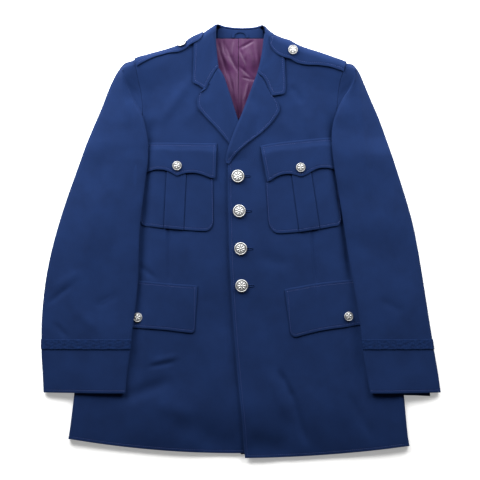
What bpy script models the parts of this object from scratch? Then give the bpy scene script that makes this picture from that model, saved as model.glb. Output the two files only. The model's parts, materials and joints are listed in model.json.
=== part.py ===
"""A military service coat, buttoned and laid flat on its back with its sleeves over the skirt.

X runs to the wearer's left, Y to the collar and Z up from the surface that the coat lies on.
The origin is under the middle of the coat. Sizes below are in millimetres.
Each piece of cloth is a sheet of points worked out from short tables, given a wall on its inner side.
"""

import math

import bmesh
import bpy
import mathutils
import numpy as np

MM = 0.001

RIGHT = -1  # the wearer's right, which lies at negative X
LEFT = 1

# Cloth and the spaces between its layers
CLOTH = 1.8  # serge with its interlining
TRIM = 1.4  # the thinner walls of pockets, flaps and straps' edges
SATIN = 1.0
BRAID = 1.0
SEAM = 0.5
LAYER = CLOTH + SEAM  # how far one panel lifts what lies on it
TRIM_LAYER = TRIM + SEAM
PLEAT_RISE = 1.2
CLEAR = 0.3  # air under a button's foot, and under a sleeve beyond its seam
LAPEL_SLACK = 0.2  # the lapel rolls this much further out than a sewn layer
STRAP_SLACK = 0.1
MERGE = 0.02  # points of two patches nearer than this are one
SHARP = 40.0  # edges turned more than this many degrees are shaded sharp

# Body heights
SIDE_HEIGHT = 9.0  # back and front together where they fold at the side
SHOULDER_RADIUS = 11.0
NECK_RADIUS = 0.9
COVER = 2.8  # room under the back, and over the front, for collar and straps
ARMPIT_Y = 151.0
ROLL_DROP = 3.4  # how far a rolled edge turns down
LIFT_FADE = (48.0, 85.0)  # the back comes down to the surface between these distances below the shoulder

# Places along the body (y) against a value; "out" is a distance from the middle of the coat
SIDE_OUT = {
    RIGHT: ((-400, 325), (-364, 318), (-279, 307), (-127, 290), (-53, 278.5), (57, 275), (151, 273)),
    LEFT: ((-400, 317), (-377, 312), (-283, 302), (-127, 288), (-53, 278.5), (57, 275), (151, 273)),
}
CREST = ((-400, 9.2), (-280, 10), (-130, 12.5), (0, 15.5), (110, 18.5), (200, 21), (300, 23), (400, 24))
SIDE_SEAM_IN = ((-400, 46), (-100, 42), (60, 30), (140, 14))

# The coat's outline along the shoulders and the back of the neck: x against y
OUTLINE = (
    (-232, 300), (-214, 325.5), (-201, 334), (-167, 345.4), (-139, 353), (-111, 363), (-84, 377),
    (-68, 384), (-55, 393), (-43, 400), (-28, 397), (0, 394), (28, 396), (41, 398.5), (53, 388),
    (68, 377.5), (95, 366.8), (117, 357.2), (145, 348.4), (173, 338.6), (193, 331.3), (211, 322.8),
    (229, 292),
)
NECK_OUT = (34, 47)  # between these distances out the tight roll of the collar opens into the shoulder

# Armhole seam: out at each height, and the stations that front, back and sleeves share
ARMHOLE_OUT = {
    RIGHT: (
        (150, 273), (153, 262), (157.4, 249), (166, 230), (178, 212), (191, 197.5), (205.5, 188),
        (219, 183), (233, 180.6), (247, 180.4), (262, 181.4), (292, 187), (312, 191.5), (334, 199),
    ),
    LEFT: (
        (150, 273), (153, 260), (157.4, 246), (166, 227), (178, 209.5), (191, 195), (205.5, 185.5),
        (219, 180.5), (233, 178.2), (247, 177.6), (262, 178.6), (292, 182.5), (312, 188), (334, 199),
    ),
}
STATION_AROUND = (0.5, 2, 7, 12, 17.3, 26)  # over the rounded shoulder, measured round it
STATION_Y = (298, 283, 262, 247, 240, 233, 219, 205.5, 191, 178, 166, 157.4, ARMPIT_Y)

# Inner edge of each front at the rows of its grid, from the hem to the neck
FRONT_ROWS = {
    RIGHT: (
        # edge_x, edge_y, side_y
        (46, -391.0, -365.5), (44, -378, -352), (39, -330, -306), (33, -262, -245), (27, -180, -170),
        (22, -100, -96), (18, -30, -30), (15, 40, 35), (13.5, 95, 84), (13, 118, 124), (13, 132, 138),
    ),
    LEFT: (
        (8.4, -400.5, -378.5), (7.2, -387, -366), (3.4, -335, -314), (-4, -262, -249), (-11, -180, -172),
        (-16.5, -100, -97), (-20, -30, -30), (-21.8, 40, 35), (-22.8, 95, 84), (-23, 118, 124),
        (-23, 132, 138),
    ),
}
# Inner edge above those rows: one place for each armhole station from the armpit up to the neck
FRONT_NECK = {
    RIGHT: (
        (13, 143), (12.5, 152), (12, 161), (11, 171), (-1, 186), (-7, 202), (-13.5, 219), (-17, 232),
        (-20, 243), (-23.5, 255), (-28, 270), (-36, 296), (-46, 328), (-50, 357), (-52, 372),
        (-52.5, 377), (-53, 382), (-53.5, 386), (-53.5, 389),
    ),
    LEFT: (
        (-22.5, 143), (-21.5, 152), (-18, 163), (-14.5, 176), (-10, 191), (-4.5, 206), (1.5, 219),
        (6.5, 232), (10.5, 243), (15, 256), (21, 271), (32, 297), (43, 328), (48, 355), (51, 370),
        (52, 374), (53, 379), (53.5, 383), (53.5, 386),
    ),
}
HEM_DIP = {RIGHT: 9.0, LEFT: 5.0}  # the hem bows below the line from corner to edge
# The lower front's edge, which the upper front climbs over: y against x
UNDER_EDGE_X = ((-400, 46), (-82, 22), (118, 13), (180, 9), (226, -5), (265, -17.5), (302, -30), (372, -45))
CLIMB = 45.0  # how far beyond that edge the upper front takes to come down

# Lapels: roll line point and outer edge point of each row, from the break to the gorge seam
LAPEL_ROWS = {
    LEFT: (
        # roll_x, roll_y, edge_x, edge_y
        (-27.2, 144, -21.5, 141.5), (-27, 152, -14, 152.5), (-25, 163, -4.5, 164),
        (-20.4, 178.7, 14, 180.5), (-15.6, 192, 27.3, 190.8), (-10.5, 205.5, 40.6, 201),
        (0.8, 231, 62.1, 224), (8.5, 251, 72.1, 243.5), (16.2, 271, 67.6, 257), (23, 289.5, 61, 262.9),
        (30.2, 309.6, 57.6, 266.6),
    ),
    RIGHT: (
        (-2.5, 221, -17, 174), (-5.3, 226.4, -25, 184), (-11.4, 245, -45.2, 208.1),
        (-17.5, 265, -69.7, 234.2), (-23.7, 283, -78.4, 246), (-29.9, 301.7, -79.5, 259.2),
        (-35, 311, -75, 270), (-39.6, 318, -64.8, 278.2),
    ),
}
# Collar leaf on the front: fold line point and outer edge point, from the gorge seam up
COLLAR_ROWS = {
    LEFT: (
        # fold_x, fold_y, edge_x, edge_y
        (30.8, 310.4, 58.4, 267.2), (34, 322, 70.4, 268.6), (36.3, 332, 81.1, 272),
        (38.6, 344, 82.8, 290), (40.2, 356, 81.8, 313), (41.6, 368, 80.6, 336), (42.5, 376, 81.5, 351),
    ),
    RIGHT: (
        (-40.2, 318.9, -65.4, 279), (-41, 327, -76, 285.5), (-42, 335, -87.8, 293.6),
        (-43, 345, -87.2, 308), (-44, 356, -86.4, 327), (-45, 368, -86, 344), (-45.3, 378, -86.2, 357),
    ),
}
# Collar leaf as it turns over the shoulder's outline to the back of the neck
COLLAR_ROUND = (
    # fold_out, fold_around, edge_out, edge_around
    (44.8, 22, 85, 6), (44.2, 12, 82, -6), (43.4, 5, 76, -17), (41.5, 4, 68, -28), (37.5, 6.5, 58, -38),
    (28, 5.2, 42, -42), (14, 5.2, 21, -44),
)
COLLAR_MIDDLE = (0, 5.2, 0, -45)
# Rows of the leaf, counted along those tables: closer where it turns over the shoulder
COLLAR_LEVELS = (0, 1, 2, 3, 4, 5, 6, 6.25, 6.5, 6.75, 7, 7.5, 8, 8.5, 9, 9.5, 10, 11, 12, 13, 14)
COLLAR_SHARES = (0.12, 0.26, 0.42, 0.6, 0.8, 1)

# Shoulder straps, measured round the shoulder's outline
STRAP_ROWS = {
    LEFT: (
        # front_out, back_out, middle_around, half_width
        (53.5, 53.5, 30, 4.5), (55.5, 55.5, 29.5, 10), (60, 60, 29, 15), (67, 67, 28, 18.3),
        (76, 76, 27.3, 19.3), (92, 92, 25.6, 20), (108, 108, 22.6, 20.5), (126, 126, 18, 21),
        (136, 136, 14.8, 21.5), (146, 146, 11.8, 22), (166, 166, 7.4, 22.6), (182, 188, 6.4, 23.2),
        (189, 198, 6.2, 23.6),
    ),
    RIGHT: (
        (69, 69, 10, 4.5), (71, 71, 9.5, 9.5), (75.5, 75.5, 8.5, 14), (82, 82, 7.5, 16.5),
        (90, 90, 6.5, 17.5), (102, 102, 5, 18.5), (114, 114, 3.5, 19), (130, 130, -0.8, 19),
        (139, 139, -1.8, 19.1), (148, 148, -2, 19.3), (166, 166, -1, 20), (182, 186, 2, 21),
        (191, 197.5, 4, 22),
    ),
}

# Patch pockets with a box pleat, as columns from the edge beside the buttons outwards
POCKET_COLUMNS = {
    RIGHT: (
        # top_out, top_y, foot_out, foot_y, pleat
        (50.6, 160, 50.6, 37, 0), (52.4, 160, 52, 28, 0), (56, 160, 56.5, 21.8, 0),
        (64, 160, 64.5, 18.3, 0), (97.6, 160, 104.6, 20.4, 0), (98.4, 160, 105.4, 20.5, 1),
        (116, 160, 123, 22, 1), (133.6, 160, 140.6, 23.6, 1), (134.4, 160, 141.4, 23.7, 0),
        (158, 160, 163, 26.4, 0), (179, 160, 180.5, 29.5, 0), (184.5, 160, 184.8, 37, 0),
    ),
    LEFT: (
        (43, 160, 51.9, 38.5, 0), (45, 160.4, 54, 27.5, 0), (49, 161, 60, 18.6, 0),
        (57, 162, 70, 14.2, 0), (88, 164, 108.2, 16.6, 0), (88.8, 164, 109, 16.7, 1),
        (106, 165, 127, 19.4, 1), (123.4, 166, 145, 22.3, 1), (124.2, 166, 145.8, 22.4, 0),
        (148, 167, 168, 26.6, 0), (172, 168, 182, 30, 0), (179, 168, 186.5, 38, 0),
    ),
}
BREAST_FLAP_COLUMNS = {
    RIGHT: (
        # top_out, top_y, foot_out, foot_y
        (43.6, 179.6, 46.2, 116.2), (48, 179.7, 51.5, 115.2), (56, 179.8, 59, 117.3),
        (66, 179.9, 68, 121), (78, 180, 79, 124.2), (90, 180.2, 90, 125.3), (101, 180.3, 101.5, 124.4),
        (110, 180.4, 110.5, 121.8), (116.6, 180.5, 116.6, 119.7), (123.5, 180.6, 123, 123),
        (132, 180.8, 132, 127.7), (143.5, 181, 143.5, 131), (155, 181.1, 155, 131.3),
        (166, 181.2, 165.5, 129), (177, 181.2, 175, 125.6), (184, 181.2, 182, 122.5),
    ),
    LEFT: (
        (36.5, 175, 49.2, 108.8), (42, 176.3, 55.4, 111.2), (52, 178.2, 65.6, 117.8),
        (63, 180, 76.9, 122.1), (75, 181.8, 89.6, 123.4), (86, 183, 100.9, 121.4),
        (95, 184, 110.4, 118.6), (104, 185, 119.2, 121), (114, 186, 129.2, 126.9),
        (126, 187.3, 140.5, 132.6), (138, 188.5, 151.8, 134.7), (150, 189.6, 163.3, 134.1),
        (164, 190.6, 174.5, 130.6), (176, 191, 181.5, 126.5),
    ),
}
HIP_FLAP_COLUMNS = {
    RIGHT: (
        (79, -82.6, 84.4, -161.5), (81, -82.2, 85.6, -166.6), (86, -81.6, 90, -169.4),
        (104, -80.2, 107, -167.8), (131, -78.2, 132, -164.6), (161, -75.4, 162, -162),
        (192, -72.8, 193, -160.4), (222, -70, 224, -158), (248, -68, 250, -156.4),
        (270, -66.4, 270, -155),
    ),
    LEFT: (
        (81.2, -89.4, 91.4, -166.5), (83.5, -88.6, 94.4, -173.5), (89, -87.2, 101, -176.8),
        (103, -84.8, 118, -172.6), (124, -80.8, 140, -167.2), (150, -76.8, 164, -162.8),
        (180, -73.6, 192, -159), (210, -70.8, 218, -155), (242, -68.4, 248, -151.6),
        (270, -66.4, 270, -149),
    ),
}

# Sleeves: the outer fold and the inner crease at each height
SLEEVE_OUTER = {
    RIGHT: (
        (-286, 363.4), (-278, 363.8), (-240, 365.6), (-209, 367.2), (-194, 368.4), (-180, 368),
        (-146, 366.8), (-93, 362.5), (-23, 350), (46, 331), (129, 302.4), (192, 279), (249, 254.7),
        (287, 239.7), (312, 226.5), (326, 215.5), (335, 201),
    ),
    LEFT: (
        (-286, 370), (-280, 369.7), (-238, 363.8), (-209, 358.6), (-194, 356.6), (-180, 354),
        (-146, 348.6), (-99, 341), (-23, 328.8), (40, 316), (104, 297), (161, 278), (224, 255.9),
        (268, 237), (302, 222.3), (317, 214.5), (331, 200),
    ),
}
CREASE_OUT = {
    RIGHT: (
        (-286, 212.2), (-252, 209.9), (-209, 204.1), (-178, 201.4), (-160, 198.6), (-75, 189.2),
        (17, 186), (112, 174.9), (150, 170.1), (182, 170.1), (206, 174), (233, 181.2), (254, 193.4),
        (277, 205.1), (312, 216.2),
    ),
    LEFT: (
        (-286, 239.8), (-252, 233.6), (-209, 226.5), (-146, 219.3), (-109, 213.6), (-65, 205.6),
        (-11, 196.2), (52, 186.6), (100, 178.4), (147, 170.8), (189, 167.3), (220, 170.8), (240, 177.3),
        (255, 183.4), (277, 199.3), (307, 211.7),
    ),
}
SLEEVE_ROWS = (
    # outer_y, crease_y, end_y, outer_z, brink (above the front), arch (height of the rounded top)
    (326, 314, 298, 12.8, 0.2, 1.0), (314, 305, 283, 11.6, 0.6, 3.0), (293, 283, 262, 10.2, 1.4, 5.0),
    (268, 263, 247, 9.2, 2.4, 6.2), (256, 246, 240, 8.6, 3.2, 6.6), (241, 233, 233, 8.2, 4.2, 6.8),
    (225, 219, 219, 7.8, 5.6, 6.8), (209, 205, 205.5, 7.4, 7.0, 6.6), (193, 191, 191, 7.2, 8.4, 6.4),
    (179, 178, 178, 7.0, 9.2, 6.2), (167, 166, 166, 7.0, 9.6, 6.0), (158, 157.4, 157.4, 7.0, 9.7, 6.0),
    (150, 150, ARMPIT_Y, 7.0, 9.8, 6.0), (141, 141, 142, 7.0, 9.8, 6.0), (118, 118, 118, 7.0, 9.7, 6.0),
    (78, 78, 78, 7.0, 9.4, 6.0), (30, 30, 30, 7.0, 8.8, 6.0), (-20, -20, -20, 6.8, 8.0, 5.8),
    (-70, -70, -70, 6.6, 7.6, 5.6), (-120, -120, -120, 6.4, 7.2, 5.4), (-165, -165, -165, 6.2, 6.6, 5.2),
    (-205, -205, -205, 6.0, 6.0, 5.0), (-245, -245, -245, 5.8, 5.6, 4.8),
    (-279.5, -280.5, -280, 5.6, 5.4, 4.6),
)
TAIL_WIDTH = ((-286, 34), (-150, 36), (30, 42), (78, 58), (118, 74), (142, 88))  # inner crease to fore seam
FORE_SEAM_Y = 143.0  # below this the tail ends on the fore seam, above it on the armhole
HIND_SEAM_IN = 18.0  # outer fold to hind seam, on the underside
HIND_SHARE = (0.35, 0.6, 0.72)  # the same seam near the shoulder, as a share of the way out from the armhole
HIND_GAP = 0.8  # between the two sleeve pieces at the hind seam
GUSSET_STEP = 0.3  # at the armpit the underside climbs on to the body over this short run
FOLD_BOTTOM = 8.0  # how far the top sleeve's outer fold reaches under it
ARCH_SHARES = (0.0, 0.03, 0.09, 0.2, 0.35, 0.5, 0.65, 0.8, 0.91, 0.97, 1.0)
RAMP = 28.0  # run over which the under sleeve climbs on to the body
CUFF_SLIP = {RIGHT: 0.0, LEFT: 7.0}  # how far the under sleeve's hem slips past the top one
BRAID_Y = (-181.0, -190.5, -199.5)

# Buttons: plan position and the piece that carries each
FRONT_BUTTONS = ((-4.9, 119.3), (-2.3, 55.3), (0.3, -13.9), (2.1, -82.3))
FLAP_BUTTONS = {
    "flap_button_breast_right": (RIGHT, -116.6, 138.4),
    "flap_button_breast_left": (LEFT, 110.4, 135.2),
    "flap_button_hip_right": (RIGHT, -189.6, -141.0),
    "flap_button_hip_left": (LEFT, 198.6, -138.9),
}
LEAF_UNDER_STRAP = (90, 104)  # between these distances out the strap comes down off the collar leaf
STRAP_BUTTONS = {"strap_button_right": (RIGHT, 107.6, 10.0), "strap_button_left": (LEFT, 96.1, 27.0)}
LARGE_BUTTON = 11.45  # radius: a 36-line button
SMALL_BUTTON = 8.3
LOOP_WIDTH = 5.0
NECK_SEAM_Y = 373.5  # where the lining and the back meet the collar stand
BUTTON_PROFILE = (
    # share of the radius, height in parts of the radius
    (0.0, 0.0), (0.28, 0.0), (0.28, 0.15), (1.0, 0.22), (0.96, 0.34), (0.84, 0.31), (0.5, 0.39),
    (0.0, 0.42),
)

NAVY = (0.023, 0.034, 0.125, 1.0)
NAVY_DARK = (0.012, 0.018, 0.07, 1.0)
BURGUNDY = (0.16, 0.05, 0.16, 1.0)
SILVER = (0.62, 0.62, 0.6, 1.0)


# Reading the tables


def curve(knots, at):
    """Smooth curve through the (place, value) rows of a table, read at the given places."""
    place, value = np.array(knots, float).T
    slope = np.gradient(value, place)
    at = np.clip(np.asarray(at, float), place[0], place[-1])
    low = np.clip(np.searchsorted(place, at, side="right") - 1, 0, len(place) - 2)
    span = place[low + 1] - place[low]
    t = (at - place[low]) / span
    rest = 1 - t
    from_low = (1 + 2 * t) * rest * rest * value[low] + t * rest * rest * span * slope[low]
    from_high = t * t * (3 - 2 * t) * value[low + 1] - t * t * rest * span * slope[low + 1]
    return from_low + from_high


def step(value, start, end):
    """0 before start, 1 after end, and a smooth change between."""
    t = np.clip((np.asarray(value, float) - start) / (end - start), 0, 1)
    return t * t * (3 - 2 * t)


def between(a, b, share):
    return a + (b - a) * share


# The coat's body as one surface: height of its top, and its rounded shoulder


def shoulder_radius(x):
    return between(NECK_RADIUS, SHOULDER_RADIUS, step(np.abs(x), *NECK_OUT))


def shoulder_centre(x):
    """Y and Z of the middle of the rounding along the shoulder."""
    radius = shoulder_radius(x)
    return curve(OUTLINE, x) - radius - COVER, radius + COVER


def side_out(x, y):
    return np.where(np.asarray(x) < 0, curve(SIDE_OUT[RIGHT], y), curve(SIDE_OUT[LEFT], y))


def body_top(x, y, rounded=True):
    """Height of the lower front's upper face; the other pieces are moved out from it."""
    x, y = np.asarray(x, float), np.asarray(y, float)
    side = side_out(x, y)
    crown = SIDE_HEIGHT + (curve(CREST, y) - SIDE_HEIGHT) * (1 - np.clip(np.abs(x) / side, 0, 1) ** 2)
    fold = SIDE_HEIGHT / 2
    inside = np.clip(side - np.abs(x), 0, fold)
    if rounded:
        crown = crown - fold + np.sqrt(fold**2 - (fold - inside) ** 2)
    centre_y, centre_z = shoulder_centre(x)
    radius = shoulder_radius(x)
    below = centre_y - y
    plateau = between(crown, centre_z + radius, 1 - step(below, 0, 60))
    reach = np.clip(-below, 0, radius)
    return plateau - radius + np.sqrt(radius**2 - reach**2)


def under_edge_climb(x, y):
    """The upper front's lift over the lower front, and over the end of the lower lapel."""
    beyond = np.asarray(x) - curve(UNDER_EDGE_X, y)
    over_front = 1 - step(beyond, 0, CLIMB)
    roll_x = np.interp(y, (140, 178.7, 231), (-26, -20.4, 0.8))
    near_lapel = 1 - step(np.abs(np.asarray(x) - roll_x - 3), 13, 38)
    over_lapel = near_lapel * step(y, 146, 166) * (1 - step(y, 232, 262))
    return LAYER * (over_front + over_lapel)


def front_top(side, x, y):
    height = body_top(x, y)
    return height + under_edge_climb(x, y) if side == LEFT else height


def round_shoulder(x, around, lift):
    """Point on the shoulder moved out by lift; around is measured forwards from the outline."""
    x, around = np.broadcast_arrays(np.asarray(x, float), np.asarray(around, float))
    centre_y, centre_z = shoulder_centre(x)
    radius = shoulder_radius(x) + lift
    quarter = radius * math.pi / 2
    angle = np.clip(around, -quarter, quarter) / radius
    run = np.maximum(np.abs(around) - quarter, 0)
    y = centre_y + radius * np.cos(angle) - run
    z = centre_z + radius * np.sin(angle)
    on_top = around > quarter
    z = np.where(on_top, body_top(x, y) + lift, z)
    return np.stack([x, y, z], axis=-1)


def around_at(x, y, lift):
    """The reverse on the front: how far round the shoulder the plan point lies."""
    centre_y, _ = shoulder_centre(x)
    radius = shoulder_radius(x) + lift
    forward = centre_y - y
    rounded = radius * np.arccos(np.clip(-forward / radius, 0, 1))
    return np.where(forward > 0, radius * math.pi / 2 + forward, rounded)


# Making solids


def material(name, colour, roughness, metallic=0.0):
    made = bpy.data.materials.new(name)
    made.use_nodes = True
    shader = made.node_tree.nodes["Principled BSDF"]
    shader.inputs["Base Color"].default_value = colour
    shader.inputs["Roughness"].default_value = roughness
    shader.inputs["Metallic"].default_value = metallic
    return made


def add_object(name, mesh, finish):
    mesh.shade_smooth()
    mesh.set_sharp_from_angle(angle=math.radians(SHARP))
    mesh.materials.append(finish)
    made = bpy.data.objects.new(name, mesh)
    bpy.context.scene.collection.objects.link(made)
    return made


def cloth(name, patches, thick, finish, faces_up=True, even=True):
    """A wall of cloth: each patch is a grid of points on the outer face, and the wall grows inwards."""
    build = bmesh.new()
    for patch in patches:
        rows, columns, _ = patch.shape
        points = [[build.verts.new(point * MM) for point in row] for row in patch]
        for i in range(rows - 1):
            for j in range(columns - 1):
                low, high = points[i], points[i + 1]
                build.faces.new((low[j], low[j + 1], high[j + 1], high[j]))
    bmesh.ops.remove_doubles(build, verts=build.verts, dist=MERGE * MM)
    bmesh.ops.dissolve_degenerate(build, edges=build.edges, dist=MERGE * MM)
    build.normal_update()
    facing = sum(face.normal.z * face.calc_area() for face in build.faces)
    if (facing > 0) != faces_up:
        bmesh.ops.reverse_faces(build, faces=build.faces)
    mesh = bpy.data.meshes.new(name)
    build.to_mesh(mesh)
    build.free()
    made = add_object(name, mesh, finish)
    wall = made.modifiers.new("Wall", "SOLIDIFY")
    wall.thickness = thick * MM
    wall.offset = -1
    wall.use_even_offset = even
    return made


def on_grid(starts, ends, shares):
    """Rows of points along straight lines from starts to ends, at the given shares."""
    shares = np.asarray(shares, float)[None, :, None]
    return between(np.asarray(starts, float)[:, None], np.asarray(ends, float)[:, None], shares)


def with_height(plan, height):
    return np.concatenate([plan, height[..., None]], axis=-1)


# Body panels


def armhole_stations(side):
    """Plan places along the armhole, from the shoulder's outline down to the armpit."""
    low_x = curve(ARMHOLE_OUT[side], STATION_Y)
    heights = np.interp(STATION_AROUND, (0, 26), (333, 312))
    high_x = curve(ARMHOLE_OUT[side], heights)
    high = round_shoulder(side * high_x, STATION_AROUND, 0)[:, :2]
    low = np.stack([side * low_x, STATION_Y], axis=-1)
    return np.concatenate([high, low])


def make_front(side, name, finish):
    shares = (0, 0.03, 0.075, 0.13, 0.2, 0.29, 0.4, 0.52, 0.64, 0.76, 0.88, 1)
    rows = np.array(FRONT_ROWS[side], float)
    stations = armhole_stations(side)[::-1]
    neck = np.array(FRONT_NECK[side], float)
    side_x = side * curve(SIDE_OUT[side], rows[:, 2])
    fold = SIDE_HEIGHT / 2
    flat_end = np.stack([side_x - side * fold, rows[:, 2]], axis=-1)
    plan_low = on_grid(rows[:, :2], flat_end, shares)
    along_hem = np.asarray(shares)
    dip = HEM_DIP[side] * 4 * along_hem * (1 - along_hem)
    fade = 1 - step(rows[:, 1], -395, -250)
    plan_low[:, :, 1] -= fade[:, None] * dip[None, :]
    plan_high = on_grid(neck, stations, shares)
    along = len(STATION_AROUND)
    for row, around in zip(range(-along, 0), STATION_AROUND[::-1]):
        plan_high[row] = round_shoulder(plan_high[row, :, 0], around, 0)[:, :2]
    plan = np.concatenate([plan_low, plan_high])
    top = with_height(plan, front_top(side, plan[..., 0], plan[..., 1]))
    turn = np.radians((90, 60, 30, 0, -30, -60, -90))
    wrap = []
    for edge_x, edge_y in zip(side_x, rows[:, 2]):
        out = edge_x + side * fold * (np.cos(turn) - 1)
        height = fold + fold * np.sin(turn)
        seam = edge_x - side * curve(SIDE_SEAM_IN, edge_y)
        out = np.append(out, (between(out[-1], seam, 0.5), seam))
        height = np.append(height, (0, 0))
        wrap.append(np.stack([out, np.full(len(out), edge_y), height], axis=-1))
    return cloth(name, [top, np.array(wrap)], CLOTH, finish)


def back_lift(x, y):
    """The back's outer face: flat on the surface, but over the collar and straps along the shoulder."""
    centre_y, _ = shoulder_centre(x)
    radius = shoulder_radius(x)
    below = centre_y - np.asarray(y, float)
    flat = COVER * (1 - step(below, *LIFT_FADE))
    reach = np.clip(-below, 0, radius)
    return flat + radius - np.sqrt(radius**2 - reach**2)


def make_back(side, name, finish):
    shares = (0, 0.2, 0.4, 0.6, 0.8, 1)
    rows = np.array(FRONT_ROWS[side], float)
    seam_out = curve(SIDE_OUT[side], rows[:, 2]) - curve(SIDE_SEAM_IN, rows[:, 2]) - SEAM
    outer = np.stack([side * seam_out, rows[:, 2]], axis=-1)
    stations = armhole_stations(side)[::-1]
    stations[0, 0] = outer[-1, 0]
    outer = np.concatenate([outer, stations])
    levels = np.concatenate([rows[:, 2], STATION_Y[::-1], [327, 341, 351, 360, 368, 371.5]])
    levels[: len(rows)] += np.linspace(-16, 0, len(rows)) * (1 - step(rows[:, 2], -395, -100))
    inner = np.stack([np.full(len(levels), side * SEAM / 2), levels], axis=-1)
    plan = on_grid(inner, outer, shares)
    along = len(STATION_AROUND)
    neck_out = np.array((42, 47, 52, 56, 59, 60))
    for row, around in enumerate(STATION_AROUND[::-1]):
        k = len(plan) - along + row
        x = plan[k, :, 0]
        free = step(np.abs(x), neck_out[row] - 40, neck_out[row])
        shoulder_y = round_shoulder(x, around, 0)[:, 1]
        plan[k, :, 1] = between(levels[k], shoulder_y, free)
    height = back_lift(plan[..., 0], plan[..., 1])
    sheet = with_height(plan, height)
    return cloth(name, [sheet], CLOTH, finish, faces_up=False)


# Collar, lapels and lining


CURL_RUN = (0.0, 1.4, 4.0)  # distances in from a rolled edge
CURL_FALL = (1.0, 0.35, 0.0)  # share of the roll's drop at each


def rolled_shares(rolls, edges, shares):
    """Shares of the way from roll to edge: close together where the roll turns down, then as given."""
    length = np.linalg.norm(edges - rolls, axis=1)[:, None]
    near = np.minimum(np.array(CURL_RUN)[None, :] / length, (0.0, 0.2, 0.4))
    return np.concatenate([near, between(near[:, -1:], 1, np.asarray(shares)[None, :])], axis=1)


def rolled_sheet(rolls, edges, shares, height):
    """Grid from a rolled edge outwards: the first columns turn down, the others follow the height given."""
    plan = between(rolls[:, None], edges[:, None], rolled_shares(rolls, edges, shares)[..., None])
    z = height(plan[..., 0], plan[..., 1])
    z[:, : len(CURL_FALL)] -= ROLL_DROP * np.array(CURL_FALL)[None, :]
    return with_height(plan, z)


def make_lapel(side, name, finish):
    rows = np.array(LAPEL_ROWS[side], float)
    shares = (0.15, 0.35, 0.6, 0.85, 1)
    lift = LAYER + LAPEL_SLACK
    sheet = rolled_sheet(rows[:, :2], rows[:, 2:], shares, lambda x, y: front_top(side, x, y) + lift)
    return cloth(name, [sheet], CLOTH, finish)


def collar_half(side, lift):
    """Fold and outer edge of half the collar as (x, around), from the gorge seam to the back."""
    front = np.array(COLLAR_ROWS[side], float)
    round_neck = np.array(COLLAR_ROUND + (COLLAR_MIDDLE,), float)
    on_front = np.stack([
        side * front[:, 0], around_at(front[:, 0], front[:, 1], lift),
        side * front[:, 2], around_at(front[:, 2], front[:, 3], lift),
    ], axis=-1)
    knots = np.concatenate([on_front, round_neck])
    at = np.array(COLLAR_LEVELS)
    rows = np.stack([curve(list(enumerate(knots[:, k])), at) for k in range(4)], axis=-1)
    drop = 0.9 * (1 - step(at, len(front) - 1, len(front) + 2))
    return rows * (side, 1, side, 1), drop


def make_collar_leaf(name, finish):
    lift = COVER
    right, right_drop = collar_half(RIGHT, lift)
    left, left_drop = collar_half(LEFT, lift)
    rows = np.concatenate([right, left[-2::-1]])
    drop = np.concatenate([right_drop, left_drop[-2::-1]])
    starts, ends = rows[:, :2], rows[:, 2:]
    place = between(starts[:, None], ends[:, None], rolled_shares(starts, ends, COLLAR_SHARES)[..., None])
    sheet = round_shoulder(place[..., 0], place[..., 1], lift)
    sheet[:, : len(CURL_FALL), 2] -= ROLL_DROP * drop[:, None] * np.array(CURL_FALL)[None, :]
    return cloth(name, [sheet], CLOTH, finish)


def make_collar_stand(name, finish):
    x = np.linspace(-40, 38.5, 9)
    centre_y, _ = shoulder_centre(x)
    top = np.stack([x, np.minimum(centre_y - 0.6, 395.5 - 0.02 * np.abs(x)), np.full(9, 6.6)], axis=-1)
    foot = np.stack([x, np.full(9, NECK_SEAM_Y + SEAM), np.full(9, 6.3)], axis=-1)
    return cloth(name, [on_grid(foot, top, (0, 0.5, 1))], CLOTH - 0.2, finish)


def make_lining(side, name, finish):
    y = np.array((196, 222, 250, 280, 310, 335, 350, 362, NECK_SEAM_Y), float)
    out = np.interp(y, (196, 310, 340, 374), (26, 62, 63, 47))
    pleat = -3.5 + side * SEAM / 2
    middle = np.stack([np.full(9, pleat), y], axis=-1)
    outer = np.stack([side * out, y], axis=-1)
    plan = on_grid(middle, outer, (0, 0.08, 0.2, 0.6, 1))
    z = back_lift(plan[..., 0], plan[..., 1]) + CLOTH + SEAM + SATIN
    if side == LEFT:
        z[:, :2] += 1.2
    return cloth(name, [with_height(plan, z)], SATIN, finish)


def make_hanger_loop(name, finish):
    angle = np.radians(np.linspace(180, 0, 11))
    middle = np.stack([-0.7 + 13.3 * np.cos(angle), NECK_SEAM_Y + 1.5 + 12 * np.sin(angle) ** 0.8], axis=-1)
    run = np.gradient(middle, axis=0)
    across = np.stack([-run[:, 1], run[:, 0]], axis=-1) / np.linalg.norm(run, axis=1)[:, None]
    plan = on_grid(middle - across * LOOP_WIDTH / 2, middle + across * LOOP_WIDTH / 2, (0, 1))
    return cloth(name, [with_height(plan, np.full(plan.shape[:2], 6.6 + SEAM + SATIN))], SATIN, finish)


# Shoulder straps, pockets and flaps


def strap_lift(out):
    """The strap lies on the shoulder, and on the collar leaf at its button end."""
    return COVER + STRAP_SLACK + LAYER * (1 - step(out, *LEAF_UNDER_STRAP))


def make_strap(side, name, finish):
    rows = np.array(STRAP_ROWS[side], float)
    shares = np.array((0, 0.14, 0.32, 0.5, 0.68, 0.86, 1))[None, :]
    out = between(rows[:, :1], rows[:, 1:2], shares)
    around = rows[:, 2:3] + rows[:, 3:4] * (1 - 2 * shares)
    return cloth(name, [round_shoulder(side * out, around, strap_lift(out))], TRIM, finish)


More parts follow.
